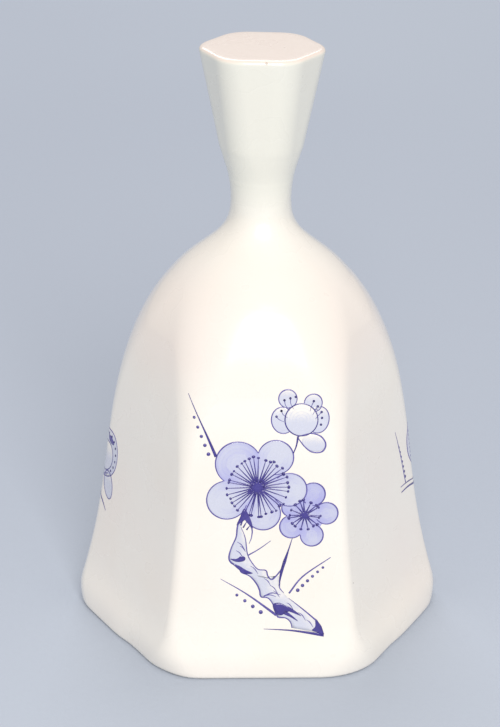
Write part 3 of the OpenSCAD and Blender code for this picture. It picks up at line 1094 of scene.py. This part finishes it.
def draw_blossom(sheet, lines, centre, petals, heart, widths, in_front=(), rise=WASH_RISE, deeper=0.0):
    star_wash(sheet, centre, petals, rise, deeper)
    for i, petal in enumerate(petals):
        others = [p for j, p in enumerate(petals) if j != i] + list(in_front)
        outline_outside(lines, petal, others + [(centre[0], centre[1], heart)], widths)


def draw_branch(lines, dark):
    lines.draw(BRANCH_LEFT, (0.1, 0.3, 0.2, 0.34, 0.2, 0.3, 0.22, 0.3, 0.16))
    lines.draw([(-3.6, 34.5), (-2.2, 32.6), (-2.2, 30.7), (-2.7, 29.2)], (0.12, 0.26, 0.1))
    lines.draw([(-4.4, 32.9), (-3.5, 30.4), (-3.1, 27.2), (-2.4, 25.5), (-0.9, 23.6), (0.8, 23.3),
                (1.2, 22.1), (2.1, 21.3), (3.4, 22.6), (4.3, 24.0), (4.7, 25.4)], (0.1, 0.22, 0.2, 0.3, 0.22))
    lines.draw([(3.7, 20.7), (3.7, 19.5), (4.6, 18.4)], (0.26, 0.2, 0.1))
    lines.draw([(5.6, 17.3), (7.8, 15.5), (9.7, 13.9), (11.3, 12.5)], (0.08, 0.24, 0.3))
    dark.draw([(3.6, 19.9), (3.9, 21.9), (4.4, 24.0), (5.0, 26.0), (6.3, 30.4)],
              (0.14, 0.5, 0.62, 0.26, 0.12))
    dark.draw([(11.3, 12.6), (11.9, 11.2), (12.9, 9.5)], (0.35, 0.9, 0.3))
    dark.draw([(0.4, 10.7), (6.5, 10.3), (13.0, 9.3)], (0.1, 0.34, 0.62))
    for start, end in (((-5.0, 33.6), (-4.3, 35.5)), ((-4.4, 33.2), (-3.8, 34.9)),
                       ((-3.9, 32.7), (-3.1, 34.2)), ((-3.2, 32.2), (-2.5, 33.2))):
        dark.draw([start, end], (0.34, 0.1))
    for x, y, size in ((-5.2, 29.6, 1.7), (-4.6, 28.7, 1.2), (-5.4, 27.7, 1.5), (-2.4, 24.3, 1.6),
                       (0.4, 21.6, 1.5), (1.7, 20.1, 1.6), (2.4, 18.9, 1.3), (5.2, 16.3, 1.4),
                       (7.6, 14.2, 1.6), (9.3, 12.6, 1.5)):
        lines.draw([(x, y), (x + 0.5 * size, y - 0.35 * size), (x + size, y - 1.1 * size)], (0.08, 0.2, 0.06))
    for y, x0, x1 in ((18.1, 0.4, 3.9), (17.7, 0.0, 3.0)):
        lines.draw([(x0, y - 0.3), ((x0 + x1) / 2, y + 0.3), (x1, y - 0.1)], (0.12, 0.24, 0.08))


def draw_knots(sheet):
    blot(sheet, [(-3.7, 36.9), (-4.6, 35.0), (-5.3, 33.2), (-4.2, 34.1), (-3.4, 34.4), (-2.3, 33.2),
                 (-1.9, 32.5), (-2.4, 34.6)], 0.95)
    blot(sheet, [(11.2, 12.9), (11.9, 11.5), (12.9, 9.4), (11.4, 10.0), (10.5, 10.4), (11.2, 11.2)], 0.95)
    blot(sheet, [(-6.6, 25.9), (-5.3, 25.9), (-4.3, 26.5), (-3.5, 26.2), (-3.6, 25.5), (-4.6, 25.2),
                 (-5.6, 25.3)])
    blot(sheet, [(-6.2, 24.9), (-4.8, 24.4), (-3.4, 23.5), (-1.9, 22.7), (-3.6, 22.6), (-4.6, 23.3)], 0.9)
    blot(sheet, [(2.3, 15.9), (3.6, 16.3), (5.0, 15.7), (6.1, 15.2), (8.3, 13.4), (6.0, 14.4), (4.9, 14.0),
                 (4.0, 13.6), (2.9, 14.0)])
    blot(sheet, [(4.9, 14.6), (6.5, 13.4), (7.6, 12.3), (6.0, 13.2), (4.6, 13.9)], 0.9)


def draw_bud(sheet, lines, dark):
    for petal in BUD_PETALS:
        disc_wash(sheet, petal, 0.32)
        others = [p for p in BUD_PETALS[:2] if p != petal] if petal in BUD_PETALS[2:] else []
        outline_outside(lines, petal, others + [BUD], (0.16, 0.22, 0.16))
    disc_wash(sheet, BUD, 0.2, WASH_RISE + 0.006)
    outline_outside(dark, BUD, [], (0.2, 0.24, 0.2))
    calyx = (10.5, 51.1, 2.5, 0.7, math.radians(-14))
    disc_wash(sheet, calyx, 0.2)
    lines.draw([(7.1, 52.4), (8.4, 52.8), (10.2, 53.1), (12.0, 52.4), (12.9, 50.8), (12.2, 49.3),
                (10.2, 49.2), (8.6, 50.4), (7.1, 52.4)], (0.16, 0.26, 0.3, 0.26, 0.16))
    dark.draw([(7.2, 52.5), (6.9, 50.6), (6.3, 48.9)], (0.4, 0.26, 0.2))
    for x, y in ((4.4, 60.1), (5.6, 60.5), (6.7, 60.8), (10.4, 59.9), (11.2, 58.8), (12.0, 57.6),
                 (12.1, 56.4), (11.9, 55.0), (3.8, 57.9), (2.8, 56.7)):
        add_dots(sheet, (x, y), (x + 0.001, y), 2, (0.26, 0.26), ink=0.9)
    for x, y in ((4.4, 60.1), (5.6, 60.5), (3.8, 57.9), (2.8, 56.7), (10.4, 59.9), (11.2, 58.8),
                 (12.0, 57.6)):
        end_x, end_y = x + 0.3 * (7.9 - x), y + 0.3 * (53.0 - y)
        lines.draw([(x, y), (0.6 * x + 0.4 * end_x - 0.2, 0.5 * (y + end_y)), (end_x, end_y)],
                   (0.16, 0.12, 0.08))


def draw_large_spray():
    sheet = Sheet()
    lines, dark = Strokes(0.7), Strokes(1.0)
    draw_blossom(sheet, lines, BIG, BIG_PETALS, 4.4, (0.18, 0.26, 0.18), rise=WASH_RISE + 0.004, deeper=0.08)
    add_stamens(sheet, BIG, 37, 0.9, 6.3, 0.24, 0.3, 3)
    disc = [(BIG[0] + (1.0 + 0.75 * (k % 2)) * math.cos(k * TAU / 22),
             BIG[1] + (1.0 + 0.75 * (k % 2)) * math.sin(k * TAU / 22)) for k in range(22)]
    blot(sheet, disc, 1.0)
    draw_blossom(sheet, lines, SMALL, SMALL_PETALS, 2.6, (0.18, 0.28, 0.18), BIG_PETALS, deeper=0.3)
    add_stamens(sheet, SMALL, 17, 0.5, 3.2, 0.26, 0.3, 8)
    blot(sheet, [(SMALL[0] + (0.65 + 0.5 * (k % 2)) * math.cos(k * TAU / 14),
                  SMALL[1] + (0.65 + 0.5 * (k % 2)) * math.sin(k * TAU / 14)) for k in range(14)], 1.0)
    draw_bud(sheet, lines, dark)
    strip_wash(sheet, BRANCH_LEFT, BRANCH_RIGHT, 0.1)
    draw_branch(lines, dark)
    draw_knots(sheet)
    lines.draw([(-2.9, 26.6), (-0.6, 28.0), (1.8, 29.8)], (0.26, 0.2, 0.12))
    lines.draw([(5.7, 18.3), (8.6, 22.0), (14.3, 26.1)], (0.34, 0.28, 0.16))
    dark.draw([(-15.2, 60.8), (-12.1, 54.2), (-9.6, 48.2)], (0.12, 0.28, 0.6))
    lines.draw([(-8.6, 21.5), (-3.2, 18.2), (3.0, 13.6)], (0.1, 0.3, 0.52))
    add_dots(sheet, (-14.0, 56.4), (-11.1, 48.8), 5, (0.3, 0.4))
    add_dots(sheet, (7.5, 19.0), (12.7, 23.9), 6, (0.4, 0.28), 0.1)
    add_dots(sheet, (-5.2, 18.0), (-0.2, 14.3), 4, (0.32, 0.44))
    for group in (lines, dark):
        group.sweep(sheet)
    return sheet


# %% [markdown]
# ### Laying the sheet on the glaze
#
# The sheet stands behind the facet it belongs to. Each of its points is carried along a ray
# from a pole inside the bell until it meets the shell, and is then lifted by its own height
# along the surface. A far pole gives parallel rays, which keep the large spray undistorted;
# a pole on the bell's axis lets a small spray wrap round a ridge.


# %% The tree that lays a sheet on the shell
def laying_tree(material):
    g = Shape("lay_on_glaze", {"Shell": str, "Turn": float, "Pole": float, "Facet": float})
    x, height, rise = g.node("GeometryNodeInputPosition").axes()
    facet = g["Facet"]
    way = g.vector(x * -1.0, g["Pole"] + facet, 0.0)
    way = g.node("ShaderNodeVectorMath", {"operation": "NORMALIZE"}, {0: way})
    start = g.vector(x, facet * -1.0, height) - way.scaled(25 * MM)

    def turned(v):
        return g.node("ShaderNodeVectorRotate", {"rotation_type": "Z_AXIS"},
                      {"Vector": v, "Angle": g["Turn"]})

    shell_mesh = g.node("GeometryNodeObjectInfo", {}, {"Object": g["Shell"]}, "Geometry")
    hit = g.node("GeometryNodeRaycast", {}, {
        "Target Geometry": shell_mesh, "Source Position": turned(start),
        "Ray Direction": turned(way), "Ray Length": 0.1}, "Hit Position")
    place = hit + hit.out("Hit Normal").scaled(rise)
    laid = g.node("GeometryNodeSetPosition", {}, {"Geometry": g["Geometry"], "Position": place})
    g.end(laid, material)
    return g


LAY_WASH, LAY_LINE = laying_tree(WASH), laying_tree(COBALT)
FAR_POLE = 2.0


def lay(sheet, name, turn, pole, facet):
    """The two painted pieces of one spray: its wash and its lines."""
    for layer, tree, part in ((sheet.wash, LAY_WASH, "wash"), (sheet.line, LAY_LINE, "lines")):
        points = np.array(layer.points) * MM
        flat = plain_mesh("sheet", points, layer.faces, {"ink": layer.ink, "lobe": layer.lobe})
        values = {"Shell": shell, "Turn": turn, "Pole": pole, "Facet": facet * MM}
        piece = tree.make(name + "_" + part, flat, values)
        discard(flat)
        if volume(piece) < 0:
            piece.data.flip_normals()
        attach(piece, "bell")
        print(piece.name, len(piece.data.polygons), "faces")





# %% Lay the large spray on the front facet
lay(draw_large_spray(), "large_spray", 0.0, FAR_POLE, 30.0)

# %% [markdown]
# ### The small spray
#
# A second, lower pattern goes on the two facets behind, one copy on each. It is wider than a
# facet, so its ends come round the ridges and can just be seen from the front: a half-open bud
# at one end, and a twig with dots at the other.

# %% The small spray
MIDDLE = (0.4, 38.2)
MIDDLE_PETALS = [(-2.9, 41.6, 3.1), (2.9, 41.9, 2.8), (5.0, 37.2, 2.8), (0.9, 34.2, 2.7), (-3.8, 36.4, 2.9)]
LOW_BRANCH = [(-12.4, 28.9), (-9.2, 30.6), (-7.6, 30.2), (-4.4, 32.0), (-1.2, 32.0), (2.2, 31.2), (6.0, 32.4),
              (9.4, 32.0), (12.6, 33.6), (15.0, 34.4)]
LOW_BRANCH_UNDER = [(-11.6, 27.6), (-8.8, 28.6), (-6.6, 28.0), (-3.6, 29.8), (-0.8, 30.4), (2.6, 29.4),
                    (6.2, 31.0), (9.6, 31.0), (12.8, 33.0), (15.0, 34.2)]
RIGHT_BUD, RIGHT_HEART = (16.6, 36.4, 5.6), (16.3, 35.7, 3.5)
LEFT_BUD = [(-14.2, 37.9, 5.2, 0.72, 1.55), (-10.6, 38.4, 3.4)]


def draw_small_spray():
    sheet = Sheet()
    lines, dark = Strokes(0.8), Strokes(1.0)
    draw_blossom(sheet, lines, MIDDLE, MIDDLE_PETALS, 2.9, (0.18, 0.26, 0.18))
    add_stamens(sheet, MIDDLE, 23, 0.6, 4.0, 0.24, 0.29, 5)
    blot(sheet, [(MIDDLE[0] + (0.7 + 0.5 * (k % 2)) * math.cos(k * TAU / 16),
                  MIDDLE[1] + (0.7 + 0.5 * (k % 2)) * math.sin(k * TAU / 16)) for k in range(16)], 1.0)
    strip_wash(sheet, LOW_BRANCH, LOW_BRANCH_UNDER, 0.1)
    lines.draw(LOW_BRANCH, (0.14, 0.34, 0.22, 0.34, 0.2, 0.3, 0.16))
    lines.draw(LOW_BRANCH_UNDER, (0.2, 0.26, 0.34, 0.22, 0.3, 0.14))
    blot(sheet, [(-7.4, 30.0), (-6.0, 30.6), (-3.9, 31.6), (-5.2, 30.1), (-6.5, 29.4)])
    blot(sheet, [(2.4, 30.9), (4.0, 31.0), (5.8, 32.0), (4.6, 30.8), (3.0, 30.0)], 0.9)
    disc_wash(sheet, RIGHT_BUD, 0.42)
    outline_outside(lines, RIGHT_BUD, [], (0.2, 0.26, 0.2))
    disc_wash(sheet, RIGHT_HEART, 0.2, WASH_RISE + 0.006)
    outline_outside(dark, RIGHT_HEART, [], (0.2, 0.26, 0.2))
    for k in range(11):
        a = math.radians(-52 + 20 * k)
        x, y = RIGHT_BUD[0] + 4.55 * math.cos(a), RIGHT_BUD[1] + 4.55 * math.sin(a)
        add_dots(sheet, (x, y), (x + 0.001, y), 2, (0.3, 0.3), ink=0.9)
    blot(sheet, [(16.8, 40.7), (18.4, 40.4), (19.7, 39.2), (18.7, 38.9), (17.3, 39.5)], 0.9)
    petal = (19.2, 29.4, 3.3, 0.6, math.radians(-62))
    disc_wash(sheet, petal, 0.3)
    outline_outside(lines, petal, [], (0.2, 0.24, 0.2))
    dark.draw([(14.6, 31.6), (16.4, 31.2), (18.4, 31.9)], (0.2, 0.3, 0.16))
    for rise, petal in zip((WASH_RISE, WASH_RISE + 0.006), LEFT_BUD):
        disc_wash(sheet, petal, 0.35, rise)
        outline_outside(lines, petal, [LEFT_BUD[1]] if petal == LEFT_BUD[0] else [], (0.18, 0.26, 0.18))
    for k in range(7):
        add_dots(sheet, (-16.2, 41.0 - k), (-16.199, 41.0 - k), 2, (0.28, 0.28), ink=0.9)
    lines.draw([(-24.6, 43.4), (-23.4, 40.6), (-22.0, 36.4), (-20.7, 30.2)], (0.12, 0.34, 0.3, 0.36))
    add_dots(sheet, (-22.6, 39.2), (-20.4, 31.6), 7, (0.26, 0.36), 0.2, ink=0.95)
    dark.draw([(-24.0, 30.1), (-19.0, 29.9), (-13.4, 29.0)], (0.16, 0.3, 0.14))
    dark.draw([(-23.9, 28.8), (-18.4, 28.7), (-11.0, 27.4), (2.0, 26.2)], (0.26, 0.5, 0.36, 0.1))
    dark.draw([(13.6, 27.0), (16.6, 25.6), (19.6, 23.3)], (0.16, 0.42, 0.16))
    for group in (lines, dark):
        group.sweep(sheet)
    return sheet


small = draw_small_spray()
for side, turn in (("right", 120), ("left", -120)):
    lay(small, "small_spray_" + side, math.radians(turn), 0.0, 27.0)
discard(EMPTY)

# %% [markdown]
# ## The fittings inside
#
# The staple, the three links and the pin are bent from one wire. A bending jig gives straight
# runs and round bends, so each path is made of arcs and lines only, and one tree sweeps the
# wire's round section along it. It also dents the wire a little, because soft brass marks
# where the pliers held it. The staple's feet disappear into the cement.

# %% Sizes of the fittings, in millimetres, as designed
WIRE_D, PLAY = 1.2, 0.12
LINK_L, LINK_W, LOOP_D = 9.0, 5.0, 5.0
STAPLE_W = 4.0
BALL_D, STRIKE_H, BALL_FLAT_D = 15.0, 17.0, 3.4
HEAD_D, HEAD_LOW_D, HEAD_T, PINCH_D, PINCH_L = 3.0, 2.1, 0.9, 2.0, 1.4
BORE_CHAMFER = 0.35
HANG = WIRE_D + PLAY
PITCH = LINK_L - WIRE_D - HANG
EYE_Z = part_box("crown_staple")[0].z / MM + WIRE_D / 2
HOOK_Z = [EYE_Z - k * PITCH for k in range(4)]
print("hooks hang at", [round(z, 2) for z in HOOK_Z], "mm")


def arc(x, z, r, start, end, count=16):
    """Points of an arc in the XZ plane, from one angle in degrees to another."""
    angles = np.radians(np.linspace(start, end, count + 1))
    return [(x + r * math.cos(a), 0.0, z + r * math.sin(a)) for a in angles]


def wire_tree():
    g = Shape("bent_wire", {
        "Wire": float, "Marks": float, "Size of the marks": float, "Sides": int,
    })
    profile = g.node("GeometryNodeCurvePrimitiveCircle", {}, {
        "Resolution": g["Sides"], "Radius": g["Wire"] / 2}, "Curve")
    swept = g.node("GeometryNodeCurveToMesh", {}, {
        "Curve": g["Geometry"], "Profile Curve": profile, "Fill Caps": True})
    where = g.node("GeometryNodeInputPosition")
    normal = g.node("GeometryNodeInputNormal")
    marks = (g.noise(where, 1 / g["Size of the marks"], 2.0) - 0.5).math("MINIMUM", 0.0)
    offset = normal.scaled(marks * g["Marks"])
    marked = g.node("GeometryNodeSetPosition", {}, {"Geometry": swept, "Offset": offset})
    g.end(marked, BRASS_WIRE)
    return g


WIRE_TREE = wire_tree()


def wire_piece(name, path, closed, turn=0.0):
    """Bends one wire along a path in the XZ plane, turned about Z."""
    curve = bpy.data.curves.new(name, "CURVE")
    curve.dimensions = "3D"
    line = curve.splines.new("POLY")
    path = path[:-1] if closed else path
    line.points.add(len(path) - 1)
    c, s = math.cos(turn), math.sin(turn)
    for point, (x, y, z) in zip(line.points, path):
        point.co = (x * c * MM, x * s * MM, z * MM, 1)
    line.use_cyclic_u = closed
    source = bpy.data.objects.new(name, curve)
    bpy.context.scene.collection.objects.link(source)
    made = WIRE_TREE.make(name, source, {
        "Wire": WIRE_D * MM, "Marks": 0.12 * MM, "Size of the marks": 1.6 * MM, "Sides": 20})
    discard(source)
    if volume(made) < 0:
        made.data.flip_normals()
    print(name, len(made.data.polygons), "faces")
    return made


def finish_piece(piece, body, node):
    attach(piece, body)
    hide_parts(node)


# %% Bend the staple and the links
leg_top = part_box("crown_staple")[1].z / MM
half_staple = STAPLE_W / 2
staple_path = [(-half_staple, 0, leg_top)]
staple_path += [(-half_staple, 0, z) for z in np.linspace(leg_top, EYE_Z + half_staple, 14)[1:-1]]
staple_path += arc(0, EYE_Z + half_staple, half_staple, 180, 360)
staple_path += [(half_staple, 0, z) for z in np.linspace(EYE_Z + half_staple, leg_top, 14)[1:]]
staple = wire_piece("brass_staple", staple_path, False)
finish_piece(staple, "bell", "crown_staple")


def link_path(hook):
    """An oval that hangs with the inside of its upper bend on the wire at the hook's height."""
    bend = (LINK_W - WIRE_D) / 2
    high = hook + HANG - bend
    low = high - (LINK_L - LINK_W)
    side = np.linspace(0, 1, 7)[1:-1, None]
    left = [(-bend, 0, z) for z in (high + (low - high) * side[:, 0])]
    right = [(bend, 0, z) for z in (low + (high - low) * side[:, 0])]
    return arc(0, high, bend, 0, 180) + left + arc(0, low, bend, 180, 360) + right + [(bend, 0, high)]


for k, turn in enumerate((90, 0, 90)):
    link = wire_piece(f"wire_link_{k + 1}", link_path(HOOK_Z[k]), True, math.radians(turn))
    finish_piece(link, f"link_{k + 1}", f"chain_link_{k + 1}")

# %% [markdown]
# The pin is the same wire with a closed loop above, a pinched shoulder that keeps the ball from
# riding up, and a head peened flat under it. The ball and the pin's shoulders are turned
# shapes: an outline spun round the axis. Its first and last points lie on the axis, so the
# solid closes at both ends by itself.


# %% Turned shapes
def turned(name, profile, material, sides=48, ripple=0.0):
    """A closed solid from an outline of (radius, height) in millimetres, low end first."""
    rings = [p for p in profile if p[0] > 0]
    points = [(0, 0, profile[0][1])]
    for r, z in rings:
        for k in range(sides):
            a = TAU * k / sides
            wave = r * (1 + ripple * math.sin(3 * a + 2.1 * z) * math.sin(5 * a + z))
            points.append((wave * math.cos(a), wave * math.sin(a), z))
    points.append((0, 0, profile[-1][1]))
    last = len(points) - 1
    faces = [(0, 1 + (k + 1) % sides, 1 + k) for k in range(sides)]
    for i in range(len(rings) - 1):
        a = 1 + i * sides
        for k in range(sides):
            b = (k + 1) % sides
            faces.append((a + k, a + b, a + b + sides, a + k + sides))
    top = 1 + (len(rings) - 1) * sides
    faces += [(top + k, top + (k + 1) % sides, last) for k in range(sides)]
    made = plain_mesh(name, np.array(points) * MM, faces)
    made.data.materials.append(material)
    for face in made.data.polygons:
        face.use_smooth = True
    return made


def joined(name, parts):
    """One object from several, with all their faces."""
    work = bmesh.new()
    for part in parts:
        work.from_mesh(part.data)
    mesh = bpy.data.meshes.new(name)
    work.to_mesh(mesh)
    work.free()
    mesh.materials.append(parts[0].data.materials[0])
    made = bpy.data.objects.new(name, mesh)
    bpy.context.scene.collection.objects.link(made)
    discard(*parts)
    return made


# %% The pin
BALL_R = BALL_D / 2
FLAT_Z = math.sqrt(BALL_R ** 2 - BALL_FLAT_D ** 2 / 4)
PIN_LOW, BALL_TOP = STRIKE_H - FLAT_Z, STRIKE_H + FLAT_Z
loop_r = (LOOP_D - WIRE_D) / 2
loop_z = HOOK_Z[3] + HANG - loop_r
ring_part = wire_piece("pin_loop", arc(0, loop_z, loop_r, -90, 270, 40), True)
run = np.linspace(PIN_LOW - HEAD_T / 2, loop_z - loop_r, 60)
shank = wire_piece("pin_shank", [(0, 0, z) for z in run], False)
head = turned("pin_head", [
    (0, PIN_LOW - HEAD_T - 0.12), (0.55, PIN_LOW - HEAD_T - 0.08), (HEAD_LOW_D / 2, PIN_LOW - HEAD_T + 0.05),
    (HEAD_D / 2 - 0.12, PIN_LOW - 0.34), (HEAD_D / 2, PIN_LOW - 0.15), (HEAD_D / 2 - 0.08, PIN_LOW),
    (0, PIN_LOW)], BRASS_WIRE, 32, 0.03)
shoulder = turned("pin_shoulder", [
    (0, BALL_TOP), (PINCH_D / 2 - 0.1, BALL_TOP), (PINCH_D / 2, BALL_TOP + 0.12),
    (PINCH_D / 2, BALL_TOP + PINCH_L * 0.7), (PINCH_D / 2 - 0.25, BALL_TOP + PINCH_L),
    (0, BALL_TOP + PINCH_L)], BRASS_WIRE, 32, 0.05)
pin = joined("brass_pin", [ring_part, shank, head, shoulder])
for face in pin.data.polygons:
    face.use_smooth = True
finish_piece(pin, "clapper", "clapper_pin")


# %% [markdown]
# The ball is glazed all over except the two small flats round its bore, where it stood on a
# pin in the kiln. The bore itself is hidden by the wire, so the outline steps in to the wire's
# own radius and closes there, a hair inside the shank.

# %% The ball
def ball_profile():
    steps = 30
    low = math.degrees(math.asin(FLAT_Z / BALL_R))
    angles = np.radians(np.linspace(-low, low, steps + 1))
    skin = [(BALL_R * math.cos(a), STRIKE_H + BALL_R * math.sin(a)) for a in angles]
    inner = WIRE_D / 2 + 0.02
    lower = [(0, PIN_LOW + 0.5), (inner, PIN_LOW + 0.5), (inner + BORE_CHAMFER * 0.5, PIN_LOW + 0.12),
             (inner + BORE_CHAMFER, PIN_LOW)]
    upper = [(r, 2 * STRIKE_H - z) for r, z in reversed(lower)]
    return lower + skin + upper


ball = turned("glazed_ball", ball_profile(), BALL_GLAZE, 64)
finish_piece(ball, "clapper", "clapper_ball")
print("ball:", round(volume(ball)), "cubic mm")


# %% [markdown]
# The cement was pushed up into the waist of the neck, wetted and smoothed with a finger, so its
# lower face bulges and is pocked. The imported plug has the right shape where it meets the
# porcelain; a turned one with a rippled face replaces it, a hair inside the same limits.

# %% The cement plug
def plug_profile():
    low, high = (c.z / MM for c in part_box("crown_cement"))
    wall_inside = [p for p in cubic(*NECK_CURVES[0], WALL)] + [p for p in cubic(*SCOOP_CURVE, WALL)[1:]]
    face = low + 0.9
    sides_of_plug = [(h - 0.03, z) for h, z in wall_inside if face < z < high]
    rim = sides_of_plug[0][0]
    bulge = [(rim * s, low + 0.9 * s * s) for s in (0.15, 0.3, 0.45, 0.6, 0.75, 0.88, 0.97)]
    return [(0, low)] + bulge + sides_of_plug + [(0, sides_of_plug[-1][1])]


cement_plug = turned("cement_plug", plug_profile(), SANDY_CEMENT, 64)
work = bmesh.new()
work.from_mesh(cement_plug.data)
face_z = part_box("crown_cement")[0].z + 1.2 * MM
for vertex in work.verts:
    if vertex.co.z < face_z:
        x, y = vertex.co.x / MM, vertex.co.y / MM
        vertex.co.z += 0.12 * MM * (1 + math.sin(1.7 * x + 0.9 * y) * math.sin(2.3 * y - 0.4 * x))
work.to_mesh(cement_plug.data)
work.free()
finish_piece(cement_plug, "bell", "crown_cement")

# %% [markdown]
# ## Floor, light and camera
#
# The bell stands on a plain pale floor under one large soft lamp in front and a little to the
# right, about 30 degrees up, with an even sky round it. White porcelain needs that balance:
# the lamp alone would leave the side facets grey, and the sky alone would flatten the ridges.
# A long lens stands less than half a metre away and looks slightly down.

# %% Floor and light
FLOOR_GREY = (0.455, 0.50, 0.59, 1)
FLOOR_PALE = (0.50, 0.55, 0.635, 1)
SKY = (0.985, 0.965, 0.95, 1)
FLOOR_HALF = 3.0


def floor_paper():
    material, g, shader, where = new_material("floor_paper")
    shade = g.noise(where, 1.5, 2.0).smooth(0.3, 0.7)
    fibre = g.noise(where, 900, 2.0)
    set_shader(g, shader, {
        "Base Color": g.mix(shade, FLOOR_GREY, FLOOR_PALE),
        "Roughness": fibre * 0.1 + 0.85,
        "Normal": bump(g, fibre, 0.05 * MM),
    })
    return material


corners = [(-FLOOR_HALF, -FLOOR_HALF), (FLOOR_HALF, -FLOOR_HALF), (FLOOR_HALF, FLOOR_HALF),
           (-FLOOR_HALF, FLOOR_HALF)]
floor = plain_mesh("floor", [(x, y, -0.05 * MM) for x, y in corners], [(0, 1, 2, 3)])
floor.data.materials.append(floor_paper())


def lamp(name, azimuth, elevation, distance, size, power, colour):
    """A square softbox that faces the bell. Azimuth 0 is in front, 90 to the right."""
    data = bpy.data.lights.new(name, "AREA")
    data.size, data.energy, data.color = size, power, colour
    made = bpy.data.objects.new(name, data)
    a, e = math.radians(azimuth), math.radians(elevation)
    way = Vector((math.sin(a) * math.cos(e), -math.cos(a) * math.cos(e), math.sin(e)))
    made.location = way * distance + Vector((0, 0, 60 * MM))
    made.rotation_euler = way.to_track_quat("Z", "Y").to_euler()
    bpy.context.scene.collection.objects.link(made)
    return made


lamp("front_softbox", 7, 33, 1.3, 0.7, 12.3, (1.0, 0.975, 0.94))
lamp("back_softbox", 185, 40, 1.6, 1.0, 6.0, (0.95, 0.97, 1.0))
world = bpy.data.worlds.new("even_sky")
world.use_nodes = True
world.node_tree.nodes["Background"].inputs["Color"].default_value = SKY
world.node_tree.nodes["Background"].inputs["Strength"].default_value = 0.625
bpy.context.scene.world = world
bpy.context.scene.view_settings.view_transform = "Standard"

# %% Camera
CAMERA_DISTANCE, CAMERA_ELEVATION = 447.7 * MM, math.radians(22.7)
CAMERA_SIDE, CAMERA_ROLL = math.radians(-1.7), math.radians(0.53)
LENS, SHIFT_X, SHIFT_Y = 103.4, -0.0133, -0.0391


def look_at_bell():
    data = bpy.data.cameras.new("camera")
    data.lens, data.sensor_width = LENS, 36.0
    data.shift_x, data.shift_y = SHIFT_X, SHIFT_Y
    data.dof.use_dof = False
    data.clip_start = 0.01
    made = bpy.data.objects.new("camera", data)
    e, a = CAMERA_ELEVATION, CAMERA_SIDE
    way = Vector((math.sin(a) * math.cos(e), -math.cos(a) * math.cos(e), math.sin(e)))
    made.location = way * CAMERA_DISTANCE + Vector((0, 0, BELL_H / 2 * MM))
    made.rotation_euler = way.to_track_quat("Z", "Y").to_euler()
    made.rotation_euler.rotate_axis("Z", CAMERA_ROLL)
    bpy.context.scene.collection.objects.link(made)
    return made


bpy.context.scene.camera = look_at_bell()
